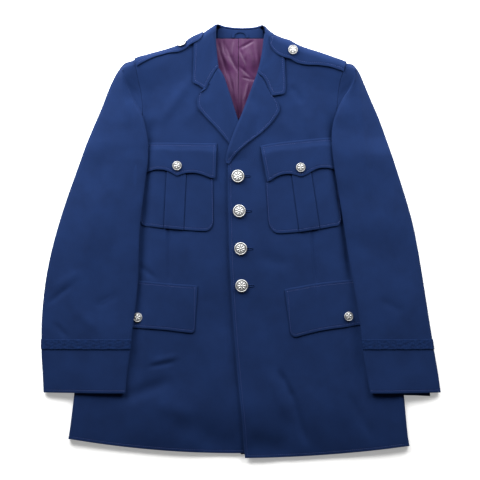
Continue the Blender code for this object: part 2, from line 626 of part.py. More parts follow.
def make_pocket(side, name, finish):
    columns = np.array(POCKET_COLUMNS[side], float)
    tops = np.stack([side * columns[:, 0], columns[:, 1]], axis=-1)
    feet = np.stack([side * columns[:, 2], columns[:, 3]], axis=-1)
    plan = on_grid(tops, feet, (0, 0.25, 0.5, 0.72, 0.86, 0.94, 1))
    z = front_top(side, plan[..., 0], plan[..., 1]) + TRIM_LAYER + PLEAT_RISE * columns[:, 4:5]
    return cloth(name, [with_height(plan, z)], TRIM, finish)


def make_flap(side, name, finish, columns, over_pocket):
    """A flap from its top seam to its shaped foot; over a pocket it climbs on to it below its seam."""
    columns = np.array(columns, float)
    tops = np.stack([side * columns[:, 0], columns[:, 1]], axis=-1)
    feet = np.stack([side * columns[:, 2], columns[:, 3]], axis=-1)
    shares = np.array((0, 0.12, 0.28, 0.5, 0.75, 1))
    plan = on_grid(tops, feet, shares)
    climb = (TRIM_LAYER + PLEAT_RISE) * step(shares, 0, 0.3) if over_pocket else np.zeros(len(shares))
    z = front_top(side, plan[..., 0], plan[..., 1]) + TRIM_LAYER + climb[None, :]
    return cloth(name, [with_height(plan, z)], TRIM, finish)


def box_step(x, y, low, high, fade=12.0):
    """1 inside the plan box and 0 beyond the fade around it."""
    across = step(x, low[0] - fade, low[0]) * (1 - step(x, high[0], high[0] + fade))
    return across * step(y, low[1] - fade, low[1]) * (1 - step(y, high[1], high[1] + fade))


def cover_height(x, y):
    """How much pockets and flaps add to the front where a sleeve lies on it."""
    out = np.abs(x)
    breast = (2 * TRIM_LAYER + PLEAT_RISE) * box_step(out, y, (40, 16), (192, 192))
    hip = TRIM_LAYER * box_step(out, y, (70, -180), (284, -64))
    return breast + hip


# Sleeves


def sleeve_rows(side):
    """Plan places of every row of a sleeve below the shoulder: outer fold, crease and the end of the tail."""
    rows = np.array(SLEEVE_ROWS, float)
    outer = np.stack([side * curve(SLEEVE_OUTER[side], rows[:, 0]), rows[:, 0]], axis=-1)
    crease = np.stack([side * curve(CREASE_OUT[side], rows[:, 1]), rows[:, 1]], axis=-1)
    end_y = rows[:, 2]
    on_armhole = curve(ARMHOLE_OUT[side], end_y) + SEAM
    on_fore_seam = np.abs(crease[:, 0]) + curve(TAIL_WIDTH, end_y)
    end = np.stack([side * np.where(end_y > FORE_SEAM_Y, on_armhole, on_fore_seam), end_y], axis=-1)
    return rows, outer, crease, end


def arch_shape(share):
    """Rounded rise and fall of the sleeve's top between its two folds."""
    return np.sqrt(1 - np.abs(2 * share - 1) ** 2.4)


def under_height(side, x, y, below_armpit):
    """Outer face of the sleeve's underside: the surface, climbing on to the body below the armpit."""
    outside = side * np.asarray(x, float) - side_out(x, y)
    on_body = body_top(x, y, rounded=False) + cover_height(x, y) + SEAM + CLEAR
    climb = on_body * (1 - step(outside, 0.6, RAMP))
    head = back_lift(x, np.minimum(y, 321)) * (1 - step(side * np.asarray(x, float), 200, 214))
    return np.where(below_armpit, climb, head)


def fold_climb(side, outer):
    """Where the outer fold lies close to the body's side, the sleeve climbs and lifts the fold with it."""
    on_body = under_height(side, outer[0], min(outer[1], FORE_SEAM_Y), True)
    return 0.7 * on_body * (1 - step(outer[1], ARMPIT_Y, ARMPIT_Y + 50))


def hind_place(side, outer, end, index):
    """Plan place of the hind seam in a row, on the underside."""
    if index < len(HIND_SHARE):
        return between(end, outer, HIND_SHARE[index])
    inward = end - outer
    return outer + inward * min(HIND_SEAM_IN / np.linalg.norm(inward), 0.42)


def sleeve_section(side, values, outer, crease, end, hind, below_armpit):
    """One row of the top sleeve: hind seam, outer fold, rounded top, inner fold or crease, and the tail."""
    _, _, _, outer_z, brink, arch = values
    outer_z = outer_z + fold_climb(side, outer)
    inward = (hind - outer) / np.linalg.norm(hind - outer)
    turn = np.radians((75, 45, 20))[:, None]
    under = outer + inward * np.minimum(FOLD_BOTTOM, 0.45 * np.linalg.norm(hind - outer)) * (1 - np.cos(turn))
    under = np.concatenate([hind[None], under])
    floor_z = under_height(side, under[:, 0], under[:, 1], below_armpit)
    sine = np.array((1.0, *np.sin(turn[:, 0])))
    under_z = floor_z + np.maximum(outer_z - floor_z, 0) * (1 - sine)
    crease_z = front_top(side, *crease) + brink
    shares = np.array(ARCH_SHARES)
    top = between(outer, crease, shares[:, None])
    top_z = between(outer_z, crease_z, shares) + arch * arch_shape(shares)
    tail = end - crease
    length = np.linalg.norm(tail)
    folded = float(step(side * (end[0] - crease[0]), -4, 5))
    near = np.array((min(1.3, 0.2 * length), min(4.5, 0.4 * length)))
    run = np.concatenate([near, between(near[1], length, np.array((0.2, 0.6, 1)))])
    tail_plan = crease + tail * (run / max(length, 1e-6))[:, None]
    rest = front_top(side, tail_plan[:, 0], tail_plan[:, 1])
    rest = rest + folded * (SEAM + CLEAR + cover_height(tail_plan[:, 0], tail_plan[:, 1]))
    open_fall = np.array((0.55, 0.12, 0.02, 0, 0))
    upright_fall = np.array((0.8, 0.6, 0.4, 0.2, 0))
    fall = between(upright_fall, open_fall, step(length, 1, 8))
    tail_z = rest + np.maximum(crease_z - rest, 0) * fall
    plan = np.concatenate([under, top, tail_plan])
    z = np.concatenate([under_z, top_z, tail_z])
    return with_height(plan, z)


def sleeve_head_row(side):
    """First row of the sleeve: the armhole seam as it passes over the shoulder's outline."""
    reach = STATION_AROUND[-1]
    under = np.array((-1.0, -0.65, -0.35, -0.12)) * reach
    top = np.array(ARCH_SHARES) * 0.6 * reach
    tail = between(0.6 * reach, reach, np.array((0.1, 0.25, 0.5, 0.75, 1)))
    around = np.concatenate([under, top, tail])
    out = np.interp(np.abs(around), (0, 26), curve(ARMHOLE_OUT[side], (333, 312))) + SEAM
    return round_shoulder(side * out, around, 0)


def top_sleeve_grid(side):
    rows, outer, crease, end = sleeve_rows(side)
    grid = []
    for i in range(len(rows)):
        hind = hind_place(side, outer[i], end[i], i)
        below_armpit = rows[i, 2] < FORE_SEAM_Y
        grid.append(sleeve_section(side, rows[i], outer[i], crease[i], end[i], hind, below_armpit))
        if rows[i, 2] == ARMPIT_Y:
            climbed = sleeve_section(side, rows[i], outer[i], crease[i], end[i], hind, True)
            grid.append(climbed - np.array((0, GUSSET_STEP, 0)))
    return np.array([sleeve_head_row(side), *grid])


def make_top_sleeve(side, name, finish):
    return cloth(name, [top_sleeve_grid(side)], CLOTH, finish, even=False)


def make_under_sleeve(side, name, finish):
    """From the hind seam inwards to the back's armhole, and below the armpit to the fore seam."""
    rows, outer, crease, end = sleeve_rows(side)
    shares = np.array((0, 0.33, 0.66, 1))
    grid = []
    for i in range(len(rows)):
        hind = hind_place(side, outer[i], end[i], i)
        inward = (end[i] - hind) / np.linalg.norm(end[i] - hind)
        near_armpit = 1 - step(abs(rows[i, 2] - ARMPIT_Y), 4, 12)
        start = hind + inward * HIND_GAP * (1 + 1.8 * near_armpit)
        stop = end[i] - inward * SEAM * (1 + 1.2 * near_armpit)
        below_armpit = rows[i, 2] < FORE_SEAM_Y
        to_side = abs(start[0]) - float(side_out(side, start[1])) - 0.6
        middle = between(start, stop, np.clip(to_side / abs(stop[0] - start[0]), 0.3, 0.8))
        halves = between(start, middle, shares[:, None]), between(middle, stop, shares[1:, None])
        plan = np.concatenate(halves)
        slip = CUFF_SLIP[side] * np.array((1, 0.9, 0.75, 0.6, 0.3, 0, 0)) if i == len(rows) - 1 else 0
        plan[:, 1] -= slip
        grid.append(with_height(plan, under_height(side, plan[:, 0], plan[:, 1], below_armpit)))
        if rows[i, 2] == ARMPIT_Y:
            gusset = plan - np.array((0, GUSSET_STEP))
            grid.append(with_height(gusset, under_height(side, gusset[:, 0], gusset[:, 1], True)))
    return cloth(name, [np.array(grid)], CLOTH, finish, faces_up=False, even=False)


def moved_out(rows, distance, side):
    """Rows across a sleeve, moved out of it: square to each stretch, with a mitre where two meet."""
    across = np.diff(rows[..., (0, 2)], axis=1)
    across /= np.linalg.norm(across, axis=-1, keepdims=True)
    normal = side * np.stack([across[..., 1], -across[..., 0]], axis=-1)
    before = np.concatenate([normal[:, :1], normal], axis=1)
    after = np.concatenate([normal, normal[:, -1:]], axis=1)
    mitre = (before + after) / (1 + (before * after).sum(axis=-1, keepdims=True))
    moved = rows.copy()
    moved[..., (0, 2)] += distance * mitre
    return moved


def make_braid(side, name, finish):
    """A band round the cuff, made from the top sleeve's rows there and moved out."""
    grid = top_sleeve_grid(side)[-4:, 3:16]
    levels = grid[:, 0, 1]
    rows = np.array([
        [[np.interp(-level, -levels, grid[:, j, k]) for k in range(3)] for j in range(grid.shape[1])]
        for level in BRAID_Y
    ])
    rows[..., 1] = np.array(BRAID_Y)[:, None]
    return cloth(name, [moved_out(rows, BRAID + SEAM, side)], BRAID, finish)


# Buttons


def make_button(name, radius, foot, normal, finish, segments):
    """A turned shank button: a foot, a disc with a rim, and a low dome."""
    build = bmesh.new()
    rings = []
    for share, height in BUTTON_PROFILE:
        count = 1 if share == 0 else segments
        angles = [2 * math.pi * k / segments for k in range(count)]
        ring = [mathutils.Vector((share * math.cos(a), share * math.sin(a), height)) for a in angles]
        rings.append([build.verts.new(point * radius * MM) for point in ring])
    for low, high in zip(rings, rings[1:]):
        for k in range(segments):
            after = (k + 1) % segments
            if len(low) == 1:
                build.faces.new((low[0], high[after], high[k]))
            elif len(high) == 1:
                build.faces.new((low[k], low[after], high[0]))
            else:
                build.faces.new((low[k], low[after], high[after], high[k]))
    mesh = bpy.data.meshes.new(name)
    build.to_mesh(mesh)
    build.free()
    made = add_object(name, mesh, finish)
    made.location = [value * MM for value in foot]
    made.rotation_euler = mathutils.Vector(normal).to_track_quat("Z", "Y").to_euler()
    return made


def button_on_front(name, radius, side, x, y, lift, finish, segments):
    """The foot stands just clear of the cloth, level with the slope under the whole foot."""
    spread = 0.5 * radius
    slope_x = (front_top(side, x + spread, y) - front_top(side, x - spread, y)) / (2 * spread)
    slope_y = (front_top(side, x, y + spread) - front_top(side, x, y - spread)) / (2 * spread)
    foot = (x, y, float(front_top(side, x, y)) + lift + CLEAR)
    return make_button(name, radius, foot, (-float(slope_x), -float(slope_y), 1), finish, segments)


def button_on_strap(name, side, out, around, finish):
    lift = float(strap_lift(out)) + 2 * CLEAR
    foot = round_shoulder(side * out, around, lift)
    along = round_shoulder(side * out + 1, around, lift) - round_shoulder(side * out - 1, around, lift)
    down = round_shoulder(side * out, around + 1, lift) - round_shoulder(side * out, around - 1, lift)
    return make_button(name, SMALL_BUTTON, foot, np.cross(down, along), finish, 12)


# The whole coat


def clear_scene():
    for item in list(bpy.data.objects):
        bpy.data.objects.remove(item, do_unlink=True)


def main():
    clear_scene()
    serge = material("navy serge", NAVY, 0.85)
    darker = material("navy braid", NAVY_DARK, 0.7)
    satin = material("burgundy lining", BURGUNDY, 0.4)
    silver = material("silver buttons", SILVER, 0.3, 1.0)
    for side, word in ((RIGHT, "right"), (LEFT, "left")):
        make_back(side, f"back_{word}", serge)
        make_front(side, f"front_{word}", serge)
        make_lining(side, f"lining_{word}", satin)
        make_lapel(side, f"lapel_{word}", serge)
        make_strap(side, f"shoulder_strap_{word}", serge)
        make_pocket(side, f"breast_pocket_{word}", serge)
        make_flap(side, f"breast_flap_{word}", serge, BREAST_FLAP_COLUMNS[side], True)
        make_flap(side, f"hip_flap_{word}", serge, HIP_FLAP_COLUMNS[side], False)
        make_top_sleeve(side, f"sleeve_top_{word}", serge)
        make_under_sleeve(side, f"sleeve_under_{word}", serge)
        make_braid(side, f"sleeve_braid_{word}", darker)
    make_collar_leaf("collar_leaf", serge)
    make_collar_stand("collar_stand", serge)
    make_hanger_loop("hanger_loop", serge)
    for number, (x, y) in enumerate(FRONT_BUTTONS, 1):
        button_on_front(f"front_button_{number}", LARGE_BUTTON, LEFT, x, y, 0, silver, 16)
    for name, (side, x, y) in FLAP_BUTTONS.items():
        lift = TRIM_LAYER + ((TRIM_LAYER + PLEAT_RISE) if "breast" in name else 0)
        button_on_front(name, SMALL_BUTTON, side, x, y, lift, silver, 12)
    for name, (side, out, around) in STRAP_BUTTONS.items():
        button_on_strap(name, side, out, around, silver)


main()
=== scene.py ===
# %% [markdown]
# # A military service coat, laid flat
#
# The coat lies buttoned on its back with its sleeves over the skirt. The solids of its cloth are packed
# already, so each piece here is the same surface worked out again with closer points. That leaves room
# for what cloth does: folds, seams, stitches and nap. X runs to the wearer's left, Y to the collar and Z
# up.

# %% Load the solids
import json
import math

import bmesh
import bpy
import mathutils
import numpy as np
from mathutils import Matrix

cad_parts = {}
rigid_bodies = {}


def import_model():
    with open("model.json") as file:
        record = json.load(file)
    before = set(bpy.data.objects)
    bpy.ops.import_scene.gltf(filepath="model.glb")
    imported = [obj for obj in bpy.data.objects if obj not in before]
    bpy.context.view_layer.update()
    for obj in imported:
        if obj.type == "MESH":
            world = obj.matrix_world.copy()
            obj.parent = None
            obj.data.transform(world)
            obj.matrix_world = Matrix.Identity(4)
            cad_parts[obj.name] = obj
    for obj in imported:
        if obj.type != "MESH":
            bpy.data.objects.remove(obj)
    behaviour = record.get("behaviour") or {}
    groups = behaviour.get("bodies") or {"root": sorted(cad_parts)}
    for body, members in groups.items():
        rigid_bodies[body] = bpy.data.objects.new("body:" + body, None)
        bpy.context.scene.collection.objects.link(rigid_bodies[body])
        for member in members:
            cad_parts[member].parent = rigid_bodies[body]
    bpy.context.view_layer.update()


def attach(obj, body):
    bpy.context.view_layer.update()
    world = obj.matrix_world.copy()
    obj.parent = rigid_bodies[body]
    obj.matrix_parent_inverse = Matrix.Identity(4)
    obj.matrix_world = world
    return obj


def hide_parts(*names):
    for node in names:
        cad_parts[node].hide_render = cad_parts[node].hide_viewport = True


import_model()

# %% [markdown]
# ## Sizes that every piece shares
#
# A coat is layers: each panel lifts whatever is sewn on it. Lengths are in millimetres, because cutters
# use them, and one factor turns them into metres where a mesh is made.

# %% Cloth thicknesses
MM = 0.001
RIGHT = -1  # the wearer's right, which lies at negative X
LEFT = 1
CLOTH = 1.8  # serge with its interlining
TRIM = 1.4  # the thinner walls of pockets, flaps and straps' edges
SATIN = 1.0
BRAID = 1.0
SEAM = 0.5
LAYER = CLOTH + SEAM  # how far one panel lifts what lies on it
TRIM_LAYER = TRIM + SEAM
PLEAT_RISE = 1.2  # a box pleat stands this much higher than its pocket
CLEAR = 0.3  # air between a button, a sleeve or the lining and what it lies on
LAPEL_SLACK = 0.2
STRAP_SLACK = 0.1
LEAF_UNDER_STRAP = (90, 104)  # between these the strap comes off the collar
SIDES = ((RIGHT, "right"), (LEFT, "left"))
SIDE_HEIGHT = 9.0  # back and front together where they fold at the side
SHOULDER_RADIUS = 11.0
NECK_RADIUS = 0.9
COVER = 2.8  # room under the back, and over the front, for collar and straps
ARMPIT_Y = 151.0
ROLL_DROP = 3.4  # how far a rolled edge turns down
LIFT_FADE = (48.0, 85.0)  # the back comes down to the surface between these distances below the shoulder
CELL = 3.0  # how far apart the points of a visible panel are
print("one layer of serge lifts the next by", LAYER, "mm")

# %% [markdown]
# ## Reading a table of sizes
#
# A pattern cutter keeps few measures and draws smooth lines through them. `curve` does that for one
# value, `step` fades one thing into another, and `fine` draws the rows that lie between the rows of a
# coarse grid.

# %% Smooth lines through few measures


def cubic(t, span, low, high, slope_low, slope_high):
    """Smooth way from one value to the next, with the given slopes at its ends; t runs from 0 to 1."""
    rest = 1 - t
    from_low = (1 + 2 * t) * rest * rest * low + t * rest * rest * span * slope_low
    from_high = t * t * (3 - 2 * t) * high - t * t * rest * span * slope_high
    return from_low + from_high


def curve(knots, at):
    """Smooth curve through the (place, value) rows of a table, read at the given places."""
    place, value = np.array(knots, float).T
    slope = np.gradient(value, place)
    at = np.clip(np.asarray(at, float), place[0], place[-1])
    low = np.clip(np.searchsorted(place, at, side="right") - 1, 0, len(place) - 2)
    span = place[low + 1] - place[low]
    t = (at - place[low]) / span
    return cubic(t, span, value[low], value[low + 1], slope[low], slope[low + 1])


def step(value, start, end):
    """0 before start, 1 after end, and a smooth change between."""
    t = np.clip((np.asarray(value, float) - start) / (end - start), 0, 1)
    return t * t * (3 - 2 * t)


def between(a, b, share):
    return a + (b - a) * share


def on_grid(starts, ends, shares):
    """Rows of points along straight lines from starts to ends, at the given shares."""
    shares = np.asarray(shares, float)[None, :, None]
    return between(np.asarray(starts, float)[:, None], np.asarray(ends, float)[:, None], shares)


def with_height(plan, height):
    return np.concatenate([plan, height[..., None]], axis=-1)


def fine(grid, spacing, axis=0):
    """Rows added between those of a grid: cubic curves through them, held back so that none swings past."""
    grid = np.moveaxis(np.asarray(grid, float), axis, 0)
    steps = np.diff(grid, axis=0)
    gaps = np.maximum(np.linalg.norm(steps, axis=-1).mean(axis=1), 0.01)
    counts = np.ceil(gaps / spacing).astype(int)
    low = np.append(np.repeat(np.arange(len(gaps)), counts), len(gaps) - 1)
    first = np.append(0, np.cumsum(counts))
    t = ((np.arange(len(low)) - first[low]) / counts[low])[:, None, None]
    chord = steps / gaps[:, None, None]
    before, after = np.concatenate([chord[:1], chord]), np.concatenate([chord, chord[-1:]])
    most = 3 * np.minimum(np.abs(before), np.abs(after))
    slope = np.where(before * after > 0, np.clip((before + after) / 2, -most, most), 0)
    span = gaps[low][:, None, None]
    return np.moveaxis(cubic(t, span, grid[low], grid[low + 1], slope[low], slope[low + 1]), 0, axis)


def cells(grid, spacing=CELL):
    """The grid made fine both ways."""
    return fine(fine(grid, spacing), spacing, axis=1)


# %% [markdown]
# ## The coat's body as one surface
#
# Laid flat, the body is a low pillow: highest down the middle, rounded along the shoulders and folded at
# the sides. One formula gives the height of its top anywhere, and all that lies on it is that surface
# moved out.

# %% Folds that lying and wearing have left
BODY_FOLDS = (
    # start_x, start_y, end_x, end_y, half_width, height
    (-160, -222, -118, -212, 6, 1.0), (-166, -232, -126, -224, 5, -1.1), (-215, -290, -140, -262, 13, -2.6),
    (-150, -300, -95, -318, 16, 1.4), (-68, -180, -40, -275, 18, 1.6), (-120, -345, -40, -350, 20, -1.5),
    (75, -246, 96, -290, 6, -2.6), (96, -288, 119, -366, 7, -2.9), (58, -250, 84, -318, 10, 1.9),
    (118, -262, 138, -352, 12, 1.5), (205, -292, 238, -358, 9, -1.6), (172, -250, 188, -330, 13, 1.2),
    (18, -374, 78, -382, 22, -3.0), (-250, -396, 250, -408, 30, -3.2), (-97, 290, -142, 226, 10, 1.9),
    (-165, 272, -172, 186, 10, -2.2), (96, 282, 112, 256, 7, -1.5), (121, 236, 131, 192, 9, 1.5),
    (168, 230, 164, 146, 10, -2.2), (-60, 262, -100, 222, 11, 0.9), (74, 222, 96, 196, 10, 0.9),
    (-169, 162, -179, 38, 11, -6.4), (-179, 40, -189, -120, 11, -6.4), (-188, -118, -201, -268, 11, -5.4),
    (175, 142, 187, 60, 11, -6.2), (186, 66, 201, -60, 11, -6.2), (201, -56, 225, -276, 11, -5.2),
    (-186, -46, -158, -68, 5, -1.3), (40, -28, 86, -44, 12, -1.0), (-104, 12, -84, -60, 15, 1.0),
    (58, 4, 84, -70, 15, 1.0), (-60, -96, -28, -170, 16, -0.9), (34, -120, 58, -200, 16, -0.9),
    (-133, 18, -131, -76, 2.8, -2.6), (132, 13, 140, -78, 2.8, -2.6), (-31, 140, -22, -146, 6, -1.3),
    (-22, -140, -2, -385, 6, -1.3), (-215, -304, 225, -312, 44, 2.4),
    (-74, -366, -12, -374, 20, -2.2), (-162, 214, -171, 158, 10, -3.4), (170, 214, 177, 142, 10, -3.2),
)
SLEEVE_FOLDS = (
    (217, 306, 234, 96, 7, 2.4), (250, 250, 268, 150, 14, -1.4), (278, 156, 288, 0, 15, 1.7),
    (249, 60, 262, -30, 10, 1.0), (214, 120, 232, -10, 12, -1.2), (300, 20, 318, -90, 13, -1.2),
    (330, -60, 342, -150, 12, 1.1), (262, -110, 296, -130, 8, -1.0), (-219, 314, -207, 226, 8, 2.4),
    (-262, 230, -300, 134, 12, 1.2), (-248, 170, -262, 90, 12, -1.3), (-271, 88, -278, -36, 14, 1.6),
    (-226, 60, -240, -60, 12, -1.1), (-317, -86, -354, -114, 5, -1.7), (-300, -60, -340, -84, 8, 1.2),
    (-341, -154, -322, -175, 5, -1.3), (-318, 20, -334, -60, 11, -1.0), (-230, -100, -262, -118, 8, -1.0),
    (-300, -130, -270, -160, 9, 0.9),
)


def folds(x, y, rows):
    """Each row is a ridge or trough: a bell across its line, faded out past both ends. All are added."""
    total = np.zeros(np.shape(x))
    for start_x, start_y, end_x, end_y, half_width, height in rows:
        run_x, run_y = end_x - start_x, end_y - start_y
        length = math.hypot(run_x, run_y)
        along = ((x - start_x) * run_x + (y - start_y) * run_y) / length**2
        off = ((x - start_x) * run_y - (y - start_y) * run_x) / length
        reach = step(along, -0.3, 0.25) * (1 - step(along, 0.75, 1.3))
        total = total + height * np.exp(-((off / half_width) ** 2)) * reach
    return total


def unevenness(x, y):
    """Slow waves of about half a millimetre, because no cloth lies quite even."""
    return 0.35 * np.sin(x / 31 + 1.3 * np.sin(y / 57)) + 0.3 * np.sin(y / 43 - x / 71 + 2)


print("folds on the body:", len(BODY_FOLDS), "and on the sleeves:", len(SLEEVE_FOLDS))

# %% [markdown]
# ## Height of the body
#
# The real side seams lie underneath, so at each side back and front fold together and the top has a
# rounded rim. Along the shoulder the cloth turns round a roll of padding. A pillow could be sculpted once
# and the rest laid on it by eye, but a formula gives every later piece its own clearance at any point.

# %% Height of the body
SIDE_OUT = {
    RIGHT: ((-400, 325), (-364, 318), (-279, 307), (-127, 290), (-53, 278.5), (57, 275), (151, 273)),
    LEFT: ((-400, 317), (-377, 312), (-283, 302), (-127, 288), (-53, 278.5), (57, 275), (151, 273)),
}
CREST = ((-400, 9.2), (-280, 10), (-130, 12.5), (0, 15.5), (110, 18.5), (200, 21), (300, 23), (400, 24))
SIDE_SEAM_IN = ((-400, 46), (-100, 42), (60, 30), (140, 14))
OUTLINE = (
    (-232, 300), (-214, 325.5), (-201, 334), (-167, 345.4), (-139, 353), (-111, 363), (-84, 377),
    (-68, 384), (-55, 393), (-43, 400), (-28, 397), (0, 394), (28, 396), (41, 398.5), (53, 388),
    (68, 377.5), (95, 366.8), (117, 357.2), (145, 348.4), (173, 338.6), (193, 331.3), (211, 322.8),
    (229, 292),
)
NECK_OUT = (34, 47)  # between these distances out the tight roll of the collar opens into the shoulder
UNDER_EDGE_X = ((-400, 46), (-82, 22), (118, 13), (180, 9), (226, -5), (265, -17.5), (302, -30), (372, -45))
PLATEAU_RUN = 60.0  # the padded shoulder comes down to the chest over this length
FREE_OF_SIDE = (3, 26)  # folds and waves fade in between these distances from the side's rim
FREE_OF_SHOULDER = (6, 40)
LOWER_ROLL = ((140, 178.7, 231), (-26, -20.4, 0.8))  # Y and X along the roll line of the lower lapel
CLIMB = 45.0  # how far beyond that edge the upper front takes to come down


def shoulder_radius(x):
    return between(NECK_RADIUS, SHOULDER_RADIUS, step(np.abs(x), *NECK_OUT))


def shoulder_centre(x):
    """Y and Z of the middle of the rounding along the shoulder."""
    radius = shoulder_radius(x)
    return curve(OUTLINE, x) - radius - COVER, radius + COVER


def side_out(x, y):
    return np.where(np.asarray(x) < 0, curve(SIDE_OUT[RIGHT], y), curve(SIDE_OUT[LEFT], y))


def body_top(x, y, rounded=True):
    """Height of the lower front's upper face; the other pieces are moved out from it.

    Across, a parabola falls from the crest to the side, where a quarter circle rounds the rim off. Near the
    shoulder it blends into a level roll, whose edge is a quarter circle too. Folds and waves are added.
    """
    x, y = np.asarray(x, float), np.asarray(y, float)
    side = side_out(x, y)
    crown = SIDE_HEIGHT + (curve(CREST, y) - SIDE_HEIGHT) * (1 - np.clip(np.abs(x) / side, 0, 1) ** 2)
    fold = SIDE_HEIGHT / 2
    inside = np.clip(side - np.abs(x), 0, fold)
    if rounded:
        crown = crown - fold + np.sqrt(fold**2 - (fold - inside) ** 2)
    centre_y, centre_z = shoulder_centre(x)
    radius = shoulder_radius(x)
    below = centre_y - y
    plateau = between(crown, centre_z + radius, 1 - step(below, 0, PLATEAU_RUN))
    reach = np.clip(-below, 0, radius)
    free = step(side - np.abs(x), *FREE_OF_SIDE) * step(below, *FREE_OF_SHOULDER)
    creased = free * (folds(x, y, BODY_FOLDS) + unevenness(x, y))
    return plateau - radius + np.sqrt(radius**2 - reach**2) + creased


def under_edge_climb(x, y):
    """The upper front's lift over the lower front, and over the end of the lower lapel."""
    beyond = np.asarray(x) - curve(UNDER_EDGE_X, y)
    over_front = 1 - step(beyond, 0, CLIMB)
    roll_x = np.interp(y, *LOWER_ROLL)
    near_lapel = 1 - step(np.abs(np.asarray(x) - roll_x - 3), 13, 38)
    over_lapel = near_lapel * step(y, 146, 166) * (1 - step(y, 232, 262))
    return LAYER * (over_front + over_lapel)


def front_top(side, x, y):
    height = body_top(x, y)
    return height + under_edge_climb(x, y) if side == LEFT else height


def round_shoulder(x, around, lift):
    """Point on the shoulder moved out by lift. Around runs from the outline, forwards or, below 0, back."""
    x, around = np.broadcast_arrays(np.asarray(x, float), np.asarray(around, float))
    centre_y, centre_z = shoulder_centre(x)
    radius = shoulder_radius(x) + lift
    quarter = radius * math.pi / 2
    angle = np.clip(around, -quarter, quarter) / radius
    run = np.maximum(np.abs(around) - quarter, 0)
    y = centre_y + radius * np.cos(angle) - run
    z = centre_z + radius * np.sin(angle)
    on_top = around > quarter
    z = np.where(on_top, body_top(x, y) + lift, z)
    return np.stack([x, y, z], axis=-1)


def around_at(x, y, lift):
    """The reverse on the front: how far round the shoulder the plan point lies."""
    centre_y, _ = shoulder_centre(x)
    radius = shoulder_radius(x) + lift
    forward = centre_y - y
    rounded = radius * np.arccos(np.clip(-forward / radius, 0, 1))
    return np.where(forward > 0, radius * math.pi / 2 + forward, rounded)


def back_lift(x, y):
    """The back's outer face: flat on the floor, then up by the room that collar and straps take, and at the
    outline round the lower quarter of the shoulder's circle."""
    centre_y, _ = shoulder_centre(x)
    radius = shoulder_radius(x)
    below = centre_y - np.asarray(y, float)
    flat = COVER * (1 - step(below, *LIFT_FADE))
    reach = np.clip(-below, 0, radius)
    return flat + radius - np.sqrt(radius**2 - reach**2)


middle = [round(float(body_top(0, y)), 1) for y in (-300, -100, 100, 300)]
print("height down the middle, from hem to neck, in mm:", middle)

# %% [markdown]
# ## From a grid to cloth
#
# Each panel is a grid of points on its outer face, in the order in which a cutter would draw it.
# Distances along the grid are distances along the cloth, so a row of stitches can keep its 5 mm from an
# edge round any curve.

# %% Distances along the cloth


def placed(name, data):
    """A new object in the scene, at the origin."""
    made = bpy.data.objects.new(name, data)
    bpy.context.scene.collection.objects.link(made)
    return made


BORDERS = {"first row": (0, 0), "last row": (0, -1), "first column": (1, 0), "last column": (1, -1)}
INSET = 5.0  # the stitching's distance from a turned edge
FAR_FROM_EDGE = 60.0
WELD = 0.02  # points of two grids that are this near are one point
NARROWEST_CUT = 0.01  # a narrower tape is cut this wide, in metres, and folded double
sewn_lines = []


def from_border(patch, border):
    """Distance of every point of the grid from one of its borders, measured along the cloth."""
    axis, which = BORDERS[border]
    lengths = np.linalg.norm(np.diff(patch, axis=axis), axis=-1)
    start = np.zeros_like(lengths.take([0], axis))
    away = np.concatenate([start, np.cumsum(lengths, axis=axis)], axis=axis)
    return away if which == 0 else away.take([-1], axis) - away


def sewn_line(patch, border, inset):
    """The points of the cloth that lie the inset in from a border, in order along it."""
    away, (axis, _) = from_border(patch, border), BORDERS[border]
    away, lines = (away.T, patch.transpose(1, 0, 2)) if axis == 0 else (away, patch)
    if away[0, 0] > away[0, -1]:
        away, lines = away[:, ::-1], lines[:, ::-1]
    kept = away[:, -1] > 2 * inset
    pairs = zip(away[kept], lines[kept])
    return np.array([[np.interp(inset, place, line[:, k]) for k in range(3)] for place, line in pairs])


# %% [markdown]
# ## Points, faces and the place on the cut
#
# A sewn piece keeps its flat cut: the weave follows it round every fold. So each point also stores how
# far along the cloth it lies, which the finishes read, and how far from a stitched edge it is.

